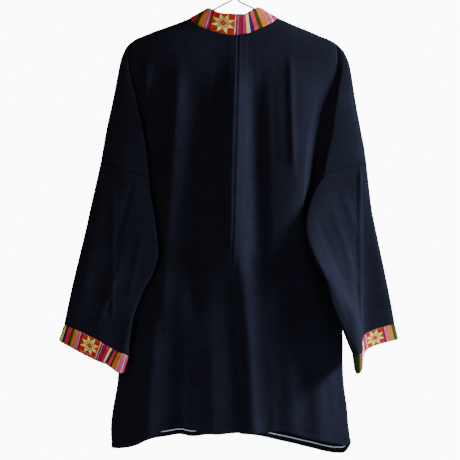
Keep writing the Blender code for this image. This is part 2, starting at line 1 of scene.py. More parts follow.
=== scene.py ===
# Hmong embroidered jacket seen from its back, hung on a wire hanger
# Tables are in millimetres: "out" runs from the middle plane to the side, "drop" down from the
# fork of the hanger, and "depth" is negative towards the back of the jacket
import math

import bmesh
import bpy
import numpy as np
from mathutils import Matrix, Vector


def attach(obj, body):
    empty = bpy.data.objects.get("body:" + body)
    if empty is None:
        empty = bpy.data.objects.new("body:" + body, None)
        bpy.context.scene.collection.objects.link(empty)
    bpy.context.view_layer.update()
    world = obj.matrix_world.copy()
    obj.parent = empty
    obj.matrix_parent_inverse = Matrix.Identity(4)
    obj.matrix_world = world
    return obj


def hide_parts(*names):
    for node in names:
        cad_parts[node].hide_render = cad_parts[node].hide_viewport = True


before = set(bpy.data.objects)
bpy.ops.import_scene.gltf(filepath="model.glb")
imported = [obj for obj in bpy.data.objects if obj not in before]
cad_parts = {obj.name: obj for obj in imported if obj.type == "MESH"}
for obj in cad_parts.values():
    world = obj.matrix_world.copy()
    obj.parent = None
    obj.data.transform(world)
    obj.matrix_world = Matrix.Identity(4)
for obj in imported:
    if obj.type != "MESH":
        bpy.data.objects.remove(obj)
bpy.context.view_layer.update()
mm = 0.001
forkBelowHook = 86.0

studio = {
    "cameraAway": 4.0, "viewWidth": 0.874, "centre": (-0.0095, -0.523),
    "floorDrop": 1.75, "floorSize": 5.0, "floorColour": (0.80, 0.82, 0.86),
    "floorRoughness": 0.8, "sensor": 36.0,
    "skyColour": (0.90, 0.925, 0.97), "skySeen": 12.0, "skyLight": 0.06,
    "lights": {  # place, aims at, width, watts, colour
        "key": ((3.0, -0.46, 0.50), (0.0, 0.0, -0.45), 0.8, 435.0, (0.62, 0.75, 1.0)),
        "fill": ((-2.2, -2.8, 1.0), (0.0, 0.0, -0.5), 1.4, 31.0, (1.0, 0.88, 0.74)),
        "front": ((0.4, 2.4, 0.7), (0.0, 0.0, -0.5), 1.6, 30.0, (1.0, 1.0, 1.0)),
    },
}


def makeStudio():
    # Straight camera, soft lights, pale surroundings and a pale floor well under the hem.
    lens = bpy.data.cameras.new("camera")
    lens.sensor_width = studio["sensor"]
    lens.lens = studio["sensor"] * studio["cameraAway"] / studio["viewWidth"]
    camera = bpy.data.objects.new("camera", lens)
    camera.location = (studio["centre"][0], -studio["cameraAway"], studio["centre"][1])
    camera.rotation_euler = (math.radians(90), 0, 0)
    bpy.context.scene.collection.objects.link(camera)
    bpy.context.scene.camera = camera

    world = bpy.data.worlds.new("pale studio")
    world.use_nodes = True
    # the pale backdrop is brighter where it is seen than in the light that it gives
    tree = world.node_tree
    seen = tree.nodes["Background"]
    light = tree.nodes.new("ShaderNodeBackground")
    for sky, strength in ((seen, "skySeen"), (light, "skyLight")):
        sky.inputs["Color"].default_value = (*studio["skyColour"], 1)
        sky.inputs["Strength"].default_value = studio[strength]
    blend = tree.nodes.new("ShaderNodeMixShader")
    ray = tree.nodes.new("ShaderNodeLightPath")
    tree.links.new(ray.outputs["Is Camera Ray"], blend.inputs[0])
    tree.links.new(light.outputs[0], blend.inputs[1])
    tree.links.new(seen.outputs[0], blend.inputs[2])
    tree.links.new(blend.outputs[0], tree.nodes["World Output"].inputs[0])
    bpy.context.scene.world = world

    for name, (place, aim, width, watts, colour) in studio["lights"].items():
        lamp = bpy.data.lights.new(name, "AREA")
        lamp.size = width
        lamp.energy = watts
        lamp.color = colour
        stand = bpy.data.objects.new(name, lamp)
        stand.location = place
        stand.rotation_euler = (Vector(aim) - Vector(place)).to_track_quat("-Z", "Y").to_euler()
        bpy.context.scene.collection.objects.link(stand)

    half, level = studio["floorSize"] / 2, -studio["floorDrop"]
    sheet = bpy.data.meshes.new("studio_floor")
    sheet.from_pydata([(-half, -half, level), (half, -half, level), (half, half, level),
                       (-half, half, level)], [], [(0, 1, 2, 3)])
    floor = bpy.data.objects.new("studio_floor", sheet)
    paint = bpy.data.materials.new("pale floor")
    paint.use_nodes = True
    shader = paint.node_tree.nodes["Principled BSDF"]
    shader.inputs["Base Color"].default_value = (*studio["floorColour"], 1)
    shader.inputs["Roughness"].default_value = studio["floorRoughness"]
    sheet.materials.append(paint)
    bpy.context.scene.collection.objects.link(floor)


makeStudio()
print("studio made")


def curve(knots, values, at):
    # Cubic pieces whose slope at a row is the weighted slope of its neighbours.
    knots = np.asarray(knots, float)
    values = np.asarray(values, float)
    at = np.clip(np.asarray(at, float), knots[0], knots[-1])
    slopes = np.gradient(values, knots, axis=0)
    spot = np.clip(np.searchsorted(knots, at, side="right") - 1, 0, len(knots) - 2)
    span = knots[spot + 1] - knots[spot]
    t = (at - knots[spot]) / span
    if values.ndim > 1:
        t = t[..., None]
        span = span[..., None]
    rise = values[spot + 1] - values[spot]
    return (values[spot] + t * span * slopes[spot]
            + t ** 2 * (3 * rise - span * (2 * slopes[spot] + slopes[spot + 1]))
            + t ** 3 * (span * (slopes[spot] + slopes[spot + 1]) - 2 * rise))


def table(rows, at):
    # The other columns of a table, read at a place of its first column.
    rows = np.asarray(rows, float)
    found = curve(rows[:, 0], rows[:, 1:], at)
    return found[..., 0] if rows.shape[1] == 2 else found


def smoothStep(low, high, value):
    # Rises from 0 to 1 between low and high with no corner at either end.
    t = np.clip((value - low) / (high - low), 0, 1)
    return t * t * (3 - 2 * t)


jacket = {
    "cottonWall": 1.2, "bandWall": 1.5, "shoulderRound": 3.0, "underarmDrop": 490.0,
    "neckDrop": {"back": 68.0, "front": 124.0}, "neckPoint": {"left": (87, 36), "right": (82, 35)},
    # outer line of the shoulder, out and drop
    "ridge": {
        "left": [(0, 0), (48, 19), (70, 28.5), (87, 36), (112, 45.6), (133, 53.2), (154, 60.8),
                 (173, 68.4), (190, 76), (200, 84), (207, 92), (211, 100)],
        "right": [(0, 0), (46, 18), (67, 28), (82, 35), (106, 45.6), (124, 53.2), (143, 60.8),
                  (160, 68.4), (179, 76), (192, 84), (201, 92), (207, 99)],
    },
    # neck seam of the back, x and drop, and of each front, out and drop
    "backNeck": [(-87, 36), (-76, 45.6), (-64, 52.8), (-51, 57.6), (-35, 62.3), (-21, 66.1),
                 (-4, 68.4), (15, 66.9), (31, 63.1), (47, 55.9), (62, 48.8), (74, 42),
                 (82, 35)],
    "frontNeck": [(0, 124), (16, 121), (34, 113), (52, 99), (68, 79), (79, 57), (82, 46),
                  (87, 36)],
    # wandering seam down the back, drop and x, and edge of the fronts, drop and out
    "centreBack": [(60, 6), (150, 4), (285, 0), (443, -4), (545, -9), (660, -3), (792, 5),
                   (830, 3)],
    "frontEdge": [(120, 1.5), (300, 3), (500, 5), (700, 8), (860, 11)],
    # side seam under the arm, drop, out and depth
    "sideSeam": {
        "left": [(490, 147, 0), (500, 153, 2.5), (517, 166, 4), (545, 184, 5), (570, 197, 6),
                 (600, 208, 6), (640, 217, 7), (690, 221, 7), (730, 224, 6), (775, 232, 4),
                 (810, 236, 3), (852, 234.5, 2)],
        "right": [(490, 158, 0), (520, 172, 0), (545, 183, 0), (575, 194, 1), (605, 202, 2),
                  (640, 205, 3), (690, 205, 3), (730, 207, 3), (775, 213, 2), (810, 216, 2),
                  (845, 221, 1)],
    },
    "sideCorner": {"left": 851.0, "right": 842.0},
    # hem lines, x and drop
    "backHem": [(-235, 851), (-215, 851), (-188, 845), (-158, 829), (-133, 815), (-106, 808),
                (-84, 812), (-64, 820), (-40, 823), (0, 820), (55, 820), (86, 817),
                (110, 822), (137, 831), (165, 837), (194, 843), (212, 846), (221, 842)],
    "frontHem": [(-235, 851), (-215, 850), (-188, 846), (-158, 836), (-133, 832), (-104, 828),
                 (-84, 832), (-55, 829), (0, 828), (50, 832), (86, 840), (118, 847),
                 (148, 854), (175, 860), (194, 862), (212, 857), (221, 842)],
    # half depth of the body at its middle: drop, back, front
    "bodyDepth": [(30, 11, 12), (70, 18, 19), (150, 23, 26), (300, 27, 31), (490, 29, 34),
                  (660, 30, 35), (860, 28, 33)],
    # soft folds: x and drop of the top, x and drop of the bottom, height, half width, as in the
    # tables of creases below
    "backFolds": [
        (2, 60, -2, 560, 8.0, 22), (-16, 110, -18, 640, 6.0, 34), (12, 440, 36, 900, 9.0, 17),
        (37, 110, 46, 600, -8.0, 19), (120, 105, 128, 580, 13.0, 46),
        (96, 540, 112, 900, 4.0, 18), (152, 480, 162, 900, 5.0, 19),
        (-104, 105, -140, 620, 9.0, 15), (-68, 130, -80, 640, -5.0, 17),
        (-166, 95, -170, 350, 3.8, 8), (-150, 560, -172, 900, 7.0, 17),
        (-118, 600, -122, 900, -3.0, 16), (-44, 540, -36, 900, 4.5, 28),
    ],
    "frontFolds": [
        (-105, 150, -130, 700, 6.0, 17), (-60, 160, -62, 880, -5.0, 20),
        (60, 150, 66, 880, -5.0, 18), (108, 140, 132, 720, 6.0, 16),
        (-150, 640, -160, 880, 6.0, 20), (150, 600, 160, 880, 7.0, 20),
    ],
    # small creases laid over the folds
    "backCreases": [
        (103, 90, 111, 340, 3.0, 6.0), (-92, 180, -120, 560, 1.0, 6.0),
        (24, 590, 44, 880, 1.2, 6.0), (70, 130, 78, 330, -0.8, 6.0),
        (-34, 100, -42, 420, -0.8, 7.0), (-140, 420, -128, 700, 0.9, 7.0),
        (82, 520, 92, 800, -1.0, 8.0), (174, 560, 190, 820, 1.2, 9.0),
        (-178, 600, -192, 820, 1.2, 9.0), (66, 640, 76, 880, 0.8, 6.0),
        (-44, 640, -38, 880, 0.7, 7.0), (-84, 660, -94, 880, -0.8, 7.0),
        (38, 80, 44, 240, 0.6, 5.0), (-130, 120, -138, 300, -0.8, 5.0),
    ],
    "frontCreases": [
        (-84, 180, -96, 560, 1.5, 6.0), (36, 170, 40, 600, 1.2, 7.0),
        (124, 300, 148, 640, -1.4, 7.0), (-40, 520, -44, 840, 1.3, 7.0),
        (92, 560, 100, 860, 1.4, 8.0), (-120, 560, -128, 860, -1.4, 8.0),
        (-182, 560, -196, 820, 1.6, 9.0), (176, 560, 188, 820, 1.6, 9.0),
    ],
    # creases of the sleeves, out instead of x
    "sleeveCreases": {
        "left": [(-229, 330, -232, 620, 1.3, 3.5), (-190, 330, -238, 520, -1.4, 7),
                 (-262, 380, -292, 600, 1.2, 7), (-205, 470, -268, 640, 1.5, 7),
                 (-172, 420, -205, 590, 1.2, 6), (-250, 520, -300, 640, -1.2, 8)],
        "right": [(237, 305, 237.5, 650, 2.6, 2.4), (176, 372, 238, 560, 1.9, 6),
                  (150, 400, 226, 590, -1.7, 7), (196, 340, 240, 470, 1.3, 5),
                  (205, 450, 236, 640, 1.8, 6),
                  (182, 500, 224, 640, -1.4, 6), (262, 400, 284, 600, 1.1, 6),
                  (250, 330, 262, 470, -1.0, 5)],
    },
    # arm part of the panels between shoulder tip and armhole; points over the arm, crease of the
    # back, back fold, inside of the fold, valley beside the body, front of the arm
    "arm": {
        "left": [
            [(211, 100, 0), (207, 92, -2.7), (203, 86.5, -3), (200.5, 84, -3), (198, 82, -3),
             (205, 89, 3)],
            [(217, 116, 0), (211.5, 115, -4), (205, 118, -5.5), (201.5, 128, -4.5),
             (198, 140, -3), (208, 120, 4)],
            [(230, 182, 0), (211, 184, -9), (190, 184, -12), (184, 206, -8), (178, 230, -3),
             (206, 190, 8)],
            [(245, 252, 0), (210, 256, -13), (175, 255, -17), (168, 300, -11), (163, 345, -3),
             (207, 270, 10)],
            [(251, 287, 0), (214, 291, -14), (169.5, 302, -18), (160, 366, -12),
             (153, 430, -3), (206, 315, 11)],
            [(255.5, 313.5, 0), (218, 318, -15), (165, 346, -18), (156, 418, -12),
             (147, 490, 0), (206, 365, 11)],
        ],
        "right": [
            [(207, 99, 0), (203.5, 94.5, -2.7), (199, 90, -3), (195.5, 87, -3), (192, 84, -3),
             (199, 90, 3)],
            [(216, 120, 0), (212, 119, -4), (204, 118, -5), (199, 124, -4.5), (194, 130, -3),
             (205, 122, 4)],
            [(228, 190, 0), (221, 190, -7), (194, 190, -12), (180, 203, -7.5), (167, 215, -3),
             (204, 196, 8)],
            [(240, 255, 0), (233, 255, -7.5), (184, 262, -15), (164, 299, -9.5),
             (149, 335, -3), (204, 276, 10)],
            [(245.5, 283, 0), (237, 284, -8), (176, 298, -16), (157, 358, -11),
             (148, 420, -3), (204, 320, 11)],
            [(249, 308, 0), (239, 310, -8), (171, 332, -17), (151, 405, -13),
             (158, 490, 0), (205, 362, 11)],
        ],
    },
    # sleeves from below the armhole, where they begin on the last row of the arm, to the cuff
    # seam; points over the arm, crease of the back, edge, inside of the edge, underarm, front
    "sleeve": {
        "left": [
            [(264, 350, 0), (221, 356, -15), (159, 387, -19), (152.5, 442, -15),
             (150, 496, -8), (208, 398, 10)],
            [(273, 390, -1), (226, 398, -16), (153, 434, -20), (150.5, 472, -18),
             (155, 507, -13), (212, 434, 8)],
            [(283, 436, -2), (233, 449, -16), (149, 484, -21), (153, 508, -20),
             (164, 525, -15), (219, 476, 6)],
            [(296, 490, -3), (243, 510, -16), (185, 530, -20), (172, 543, -20),
             (178, 553, -16), (230, 528, 7)],
            [(308, 540, -4), (253, 564, -16), (205, 582, -21), (191, 589, -22),
             (194, 597, -18), (241, 578, 6)],
            [(317, 582, -5), (261, 606, -17), (216, 627, -22), (201, 632, -24),
             (200, 639, -20), (250, 618, 5)],
            [(324, 617.5, -5), (268, 641, -17), (226, 665, -22), (209, 671, -24),
             (202, 674.5, -20), (259, 652, 4)],
        ],
        "right": [
            [(254, 352, 0), (239.5, 354, -8), (150, 366, -22), (146, 428, -18),
             (159, 497, -8), (208, 400, 10)],
            [(260, 400, 0), (239.5, 402, -7), (137, 407, -32), (145, 457, -26),
             (163, 507, -15), (212, 440, 9)],
            [(270, 450, 0), (239.5, 452, -7), (138, 450, -42), (151, 488, -35),
             (167, 518, -25), (217, 484, 8)],
            [(282, 506, 0), (239.5, 510, -7), (161, 503, -52), (167, 522, -50),
             (178, 538, -43), (225, 530, 9)],
            [(293, 560, 0), (240, 569, -7), (203, 566, -50), (189, 574, -56),
             (189, 589, -53), (232, 576, 9)],
            [(299, 592, 0), (241.5, 603, -9), (227, 612, -50), (213, 622, -56),
             (206, 634, -52), (237, 610, 9)],
            [(303, 616.5, 0), (245, 635.5, -12), (239, 667, -46), (231.5, 670, -52),
             (223.5, 672, -44), (236, 645, 10)],
        ],
    },
    # lower edge of the cuffs, the same points
    "cuffEdge": {
        "left": [(334, 647, -5), (277, 673, -18), (241, 693, -22), (221, 706.5, -24),
                 (211, 706, -20), (268, 684, 4)],
        "right": [(310, 644.5, 0), (250, 664, -13), (238.5, 699, -47), (233, 706, -52),
                  (227, 706, -45), (241, 664, 10)],
    },
    # length over which a fold fades: so many of its half widths, and a length more
    "fade": (4.5, 25),
    # power and fall of the belly towards the sides, and height of the gentle waves
    "belly": (2.2, 0.85), "waves": {"body": 0.20, "arm": 0.35, "sleeve": 0.3},
    # folds fade out over this share at the side, and from this far below the ridge over this far
    "calm": (0.12, 12, 60), "creaseEnds": {"arm": 0.15, "sleeve": 0.12},
    # shares of the arm from which it closes to a tube and from which its valley loses its
    # depth, and the step from the valley to the cloth beyond it, out, drop and depth
    "armCloses": (0.93, 0.95), "beyondValley": (-14, 0, 2.0),
    # steps of the grids
    "ridgeSteps": 8, "armRows": 140, "bodyRows": 118, "sleeveRows": 108, "cuffRows": 14,
    "neckColumns": 36, "sideColumns": 44, "backSteps": (10, 24, 15, 15), "frontSteps": (28, 24),
    # sewing: depth and half width of the groove at a seam, the roll beside it, its puckers
    "groove": (0.7, 1.5), "roll": (0.35, 5.0, 3.0), "pucker": (0.34, 9.5, 9.0),
    # pressed wave beside the middle seam: height, gap and reach
    "seamWave": (0.14, 13.0, 14),
    # hem: step of its turn and its softness; stitched groove; puckers, reach and gap
    "hemStep": (0.45, 3), "hemGroove": (0.5, 2.4), "hemPucker": (0.16, 7, 7.5),
    "hemTurn": 11.5, "hemRows": 7, "selvageRows": 2, "hemGap": 0.3, "selvageWall": 0.5,
    # where the flat map of the arm and of a sleeve's front begins, beside the first one
    "armMap": 600.0, "frontMap": 400.0,
}
sideSign = {"left": -1.0, "right": 1.0}


def sectionLines(points, beyondBack, beyondFront, ease):
    # Curves round each section of an arm, one row of points for each section. The back runs
    # from over the arm to the underarm and the front from there to over the arm; the spacing of
    # the knots is the root of the distance, and the folds are sharp where ease is zero.
    over, crease, edge, inner, underBack, underFront, front = np.moveaxis(points, 1, 0)
    one = np.ones(len(points))
    sharpEdge = 0.35 + 0.65 * ease
    sharpUnder = 0.5 + 1.3 * ease
    backLine = np.stack([front, over, crease, edge, inner, underBack, beyondBack], axis=1)
    frontLine = np.stack([beyondFront, underFront, front, over, crease], axis=1)
    backSoft = np.stack([one, 2.2 * one, one, sharpEdge, one, sharpUnder, one], axis=1)
    frontSoft = np.stack([one, sharpUnder, one, 2.2 * one, one], axis=1)
    made = []
    for line, soft, steps in ((backLine, backSoft, jacket["backSteps"]),
                              (frontLine, frontSoft, jacket["frontSteps"])):
        length = np.linalg.norm(np.diff(line, axis=1), axis=2)
        gap = np.sqrt(np.maximum(length, 0.4))
        slope = line * 0
        before, after = gap[:, :-1, None], gap[:, 1:, None]
        rise = np.diff(line, axis=1)
        slope[:, 1:-1] = ((rise[:, :-1] / before * after + rise[:, 1:] / after * before)
                          / (before + after))
        slope *= soft[..., None]
        parts = []
        for number, count in enumerate(steps):
            last = number == len(steps) - 1
            t = np.linspace(0, 1, count + 1)[None, :None if last else -1, None]
            start, end = line[:, number + 1, None], line[:, number + 2, None]
            span = gap[:, number + 1, None, None]
            m0, m1 = slope[:, number + 1, None] * span, slope[:, number + 2, None] * span
            parts.append(start + t * m0 + t ** 2 * (3 * (end - start) - 2 * m0 - m1)
                         + t ** 3 * (m0 + m1 - 2 * (end - start)))
        made.append(np.concatenate(parts, axis=1))
    return made


def foldDepth(folds, x, drop):
    # Sum of soft straight ridges, bell shaped across and fading in and out along their length.
    total = np.zeros_like(x)
    perWidth, least = jacket["fade"]
    for topX, top, bottomX, bottom, height, width in folds:
        along = np.clip((drop - top) / (bottom - top), 0, 1)
        middle = topX + along * (bottomX - topX)
        fade = perWidth * width + least
        ease = smoothStep(0, fade, drop - top) * smoothStep(0, fade, bottom - drop)
        total += height * ease * np.exp(-((x - middle) / width) ** 2)
    return total


def unevenness(x, drop, height):
    # Gentle waves of hanging cloth: three long sines that cross each other.
    return height * (np.sin(x / 17.0 + 1.3 * np.sin(drop / 95.0))
                     + 0.7 * np.sin(x / 9.5 + drop / 130.0 + 2.0 * np.sin(drop / 71.0 + 1.0))
                     + 0.5 * np.sin(drop / 23.0 + 1.7 * np.sin(x / 41.0)))


def seamRelief(distance, along, strength=1.0):
    # Groove at the seam, a soft roll beside it, and puckers that die away from it: two bell
    # curves of the distance and a sine along the seam.
    deep, half = jacket["groove"]
    high, away, width = jacket["roll"]
    size, gap, reach = jacket["pucker"]
    return strength * (-deep * np.exp(-(distance / half) ** 2)
                       + high * np.exp(-((distance - away) / width) ** 2)
                       + size * np.exp(-distance / reach)
                       * np.sin(2 * math.pi * along / gap + 2.0 * np.sin(along / 31.0)))


def halfWidth(side, drop):
    # Half width of the body: shoulder line, then valley beside the arm, then side seam.
    ridge = [(d, o) for o, d in jacket["ridge"][side]][:-2]
    valley = [(row[4][1], row[4][0]) for row in jacket["arm"][side]][1:-1]
    seam = [(d, o) for d, o, _ in jacket["sideSeam"][side]]
    return table(ridge + valley + seam, drop)


def bodyDepth(side, face, x, drop, fraction, edgeDepth, edgeDistance, shift):
    # Depth of the body cloth: round over the shoulder and at the sides, swelling to the
    # middle, plus folds, creases and gentle waves that calm down towards the seams.
    out = np.abs(x)
    full = jacket["shoulderRound"]
    ridge = table(jacket["ridge"][side], out)
    below = np.clip(drop - ridge, 0, full)
    hug = np.sqrt(np.maximum(full ** 2 - (full - below) ** 2, 0))
    reach = np.clip(out / halfWidth(side, drop), 0, 1)
    belly = table(jacket["bodyDepth"], drop)[..., 0 if face == "back" else 1]
    power, fall = jacket["belly"]
    lens = belly * (1 - reach ** power) ** fall
    near = np.clip(edgeDistance / full, 0, 1)
    wall = edgeDepth + (full - edgeDepth) * np.sqrt(1 - (1 - near) ** 2)
    side, start, span = jacket["calm"]
    calm = np.clip((1 - fraction) / side, 0, 1) * np.clip((drop - ridge - start) / span, 0, 1)
    folds = foldDepth(jacket[face + "Folds"], x, drop)
    folds += foldDepth(jacket[face + "Creases"], x, drop)
    folds += unevenness(x, drop, jacket["waves"]["body"])
    sign = -1.0 if face == "back" else 1.0
    return sign * (np.minimum(hug, wall) + lens + folds * calm) + shift * fraction ** 3


def armPlaces(side):
    # Row places from shoulder to underarm: a quarter circle over the ridge, then even rows.
    start = jacket["arm"][side][0][4][1]
    tall = jacket["underarmDrop"] - start
    turn = np.linspace(0, math.pi / 2, jacket["ridgeSteps"] + 1)
    ridge = jacket["shoulderRound"] * (1 - np.cos(turn)) / tall
    even = np.linspace(0, 1, jacket["armRows"])[1:]
    rest = ridge[-1] + (1 - ridge[-1]) * (even + 0.1 * np.sin(math.pi * even))
    return np.concatenate([ridge, rest]), start, tall


def armSections(side):
    # Sections of the arm part of the back and of the front, from shoulder tip to armhole.
    places, start, tall = armPlaces(side)
    stations = np.array(jacket["arm"][side], float)
    knots = (stations[:, 4, 1] - start) / tall
    rows = curve(knots, stations.reshape(len(stations), -1), places).reshape(-1, 6, 3)
    full = jacket["shoulderRound"]
    height = np.minimum(full, places * tall)
    hug = np.sqrt(full ** 2 - (full - height) ** 2) / full
    rows[0, :, 1] = table(jacket["ridge"][side], rows[0, :, 0])
    closes, rounds = jacket["armCloses"]
    closing = smoothStep(closes, 1.0, places)
    last = np.clip((places - rounds) / (1 - rounds), 0, 1)
    rows[:, 4, 2] = -full * np.sqrt(1 - last ** 2)
    valley = rows[:, 4]
    flip = np.array([1, 1, -1])
    mirror = valley * flip
    mix = closing[:, None]
    beyond = np.array(jacket["beyondValley"])
    beyondBack = (1 - mix) * (valley + beyond * flip) + mix * rows[:, 5]
    beyondFront = (1 - mix) * (mirror + beyond) + mix * rows[:, 3]
    points = np.stack([rows[:, 0], rows[:, 1], rows[:, 2], rows[:, 3], valley, mirror,
                       rows[:, 5]], axis=1)
    made = sectionLines(points, beyondBack, beyondFront, np.zeros(len(places)))
    for line in made:
        line[:, :, 2] *= hug[:, None]
        line[:, :, 0] *= sideSign[side]
    return made


def bodyGrid(side, face, arm):
    # One half of the back or front between its centre line and the arm or side seam. Rows are
    # shares of the way from neck and shoulder to the underarm, then from there to the hem.
    sign = sideSign[side]
    places = armPlaces(side)[0]
    valley = arm[:, -1] if face == "back" else arm[:, 0]
    neckOut, neckDrop = jacket["neckPoint"][side]

    def centreLine(drop):
        if face == "back":
            return table(jacket["centreBack"], drop)
        return sign * table(jacket["frontEdge"], drop)

    topCentre = float(centreLine(jacket["neckDrop"][face]))
    whole = valley[0, 0] - topCentre
    neckShare = (sign * neckOut - topCentre) / whole
    neckCount = jacket["neckColumns"]
    toSide = np.linspace(0, 1, jacket["sideColumns"] + 1)
    toSide = toSide + 0.14 * np.sin(math.pi * toSide)  # closer columns near the side
    shares = np.concatenate([neckShare * np.linspace(0, 1, neckCount + 1)[:-1] ** 1.4,
                             neckShare + (1 - neckShare) * np.clip(toSide, 0, 1)])
    topX = topCentre + shares * whole
    inside = np.arange(len(shares)) < neckCount
    if face == "back":
        neck = table(jacket["backNeck"], topX)
    else:
        neck = table(jacket["frontNeck"], np.abs(topX) * jacket["frontNeck"][-1][0] / neckOut)
    topDrop = np.where(inside, neck, table(jacket["ridge"][side], np.abs(topX)))
    topDrop[neckCount] = neckDrop
    topDrop[-1] = valley[0, 1]

    count = jacket["ridgeSteps"]
    neckPlaces = places.copy()
    neckPlaces[:count + 1] = np.linspace(0, places[count + 1], count + 2)[:-1]
    share = np.where(inside[None, :], neckPlaces[:, None], places[:, None])
    drop = topDrop + share * (jacket["underarmDrop"] - topDrop)
    drop[:, -1] = valley[:, 1]
    centre = centreLine(drop[:, 0])[:, None]
    x = centre + shares * (valley[:, :1] - centre)
    flat = np.broadcast_to(shares, x.shape)
    y = bodyDepth(side, face, x, drop, flat, np.abs(valley[:, 2:3]),
                  np.abs(valley[:, :1] - x), 0.0)
    y[0, neckCount:] = 0.0
    y[:, -1] = valley[:, 2]
    upper = np.stack([x, drop, y], axis=2)

    hemLine = jacket[face + "Hem"]
    corner = jacket["sideCorner"][side]
    down = np.linspace(0, 1, jacket["bodyRows"] + 1)[1:, None]
    down = down + 0.1 * np.sin(math.pi * down)  # closer rows near the hem
    out, shift = np.moveaxis(table(jacket["sideSeam"][side],
                                   jacket["underarmDrop"] + down[:, 0]
                                   * (corner - jacket["underarmDrop"])), 1, 0)
    out, shift = out[:, None], shift[:, None]
    x = shares * sign * out
    # the columns start at the centre line, which depends on how far down their rows come
    for _ in range(3):
        hem = table(hemLine, x)
        hem[:, -1] = corner
        drop = jacket["underarmDrop"] + down * (hem - jacket["underarmDrop"])
        centre = centreLine(drop[:, 0])[:, None]
        x = centre + shares * (sign * out - centre)
    flat = np.broadcast_to(shares, x.shape)
    y = bodyDepth(side, face, x, drop, flat, 0.0, np.abs(sign * out - x), shift)
    y[:, -1] = shift[:, 0]
    grid = np.concatenate([upper, np.stack([x, drop, y], axis=2)])

    # sewing of the centre line, the side seam, the neck and the hem
    x, drop = grid[:, :, 0], grid[:, :, 1]
    fromCentre = np.abs(x - centreLine(drop))
    relief = np.zeros(x.shape)
    if face == "back":
        high, gap, reach = jacket["seamWave"]
        wave = high * np.sin(2 * math.pi * fromCentre / gap + 1.2 * np.sin(drop / 57.0))
        relief = seamRelief(fromCentre, drop)
        relief += wave * np.exp(-((fromCentre - reach) / reach) ** 2)
    fromNeck = np.linalg.norm(grid - grid[:1], axis=2)
    relief += seamRelief(fromNeck, x, 0.6) * inside * smoothStep(0, 9, fromNeck)
    fromSide = np.abs(x[:, -1:] - x)
    below = np.arange(len(grid))[:, None] >= len(places)
    relief += (below * seamRelief(fromSide, drop, 0.7)
               * smoothStep(0, 40, drop - jacket["underarmDrop"]))
    up = np.linalg.norm(grid - grid[-1:], axis=2)
    turn = jacket["hemTurn"]
    step, soft = jacket["hemStep"]
    relief += step * smoothStep(turn + soft, turn - soft, up)
    deep, half = jacket["hemGroove"]
    relief -= deep * np.exp(-((up - turn) / half) ** 2)
    size, reach, gap = jacket["hemPucker"]
    relief += size * np.exp(-((up - turn) / reach) ** 2) * np.sin(2 * math.pi * x / gap)
    return grid, relief


def ringLines(side, rows, ease):
    # Back and front lines of a tube, from over the arm to the underarm and on round.
    over, crease, edge, inner, under, front = np.moveaxis(rows, 1, 0)
    points = np.stack([over, crease, edge, inner, under, under, front], axis=1)
    made = sectionLines(points, front, inner, ease)
    for line in made:
        line[:, :, 0] *= sideSign[side]
    return made


def alongLength(grid):
    # Running length of each row of a grid, the mean of all rows.
    step = np.linalg.norm(np.diff(grid, axis=1), axis=2).mean(axis=0)
    return np.concatenate([[0], np.cumsum(step)])


def downLength(grid):
    # Running length of each column of a grid, the mean of all columns.
    step = np.linalg.norm(np.diff(grid, axis=0), axis=2).mean(axis=1)
    return np.concatenate([[0], np.cumsum(step)])


def clothMap(grid, shift=0.0):
    # Flat map of a patch in millimetres, measured along its rows and columns and moved aside.
    return np.stack(np.meshgrid(alongLength(grid) + shift, downLength(grid)), axis=2)


def calmEnds(grid, reach):
    # A factor for each column of a grid that fades to nothing at its two sides.
    across = np.linspace(0, 1, grid.shape[1])
    return smoothStep(0, reach, across) * smoothStep(0, reach, 1 - across)


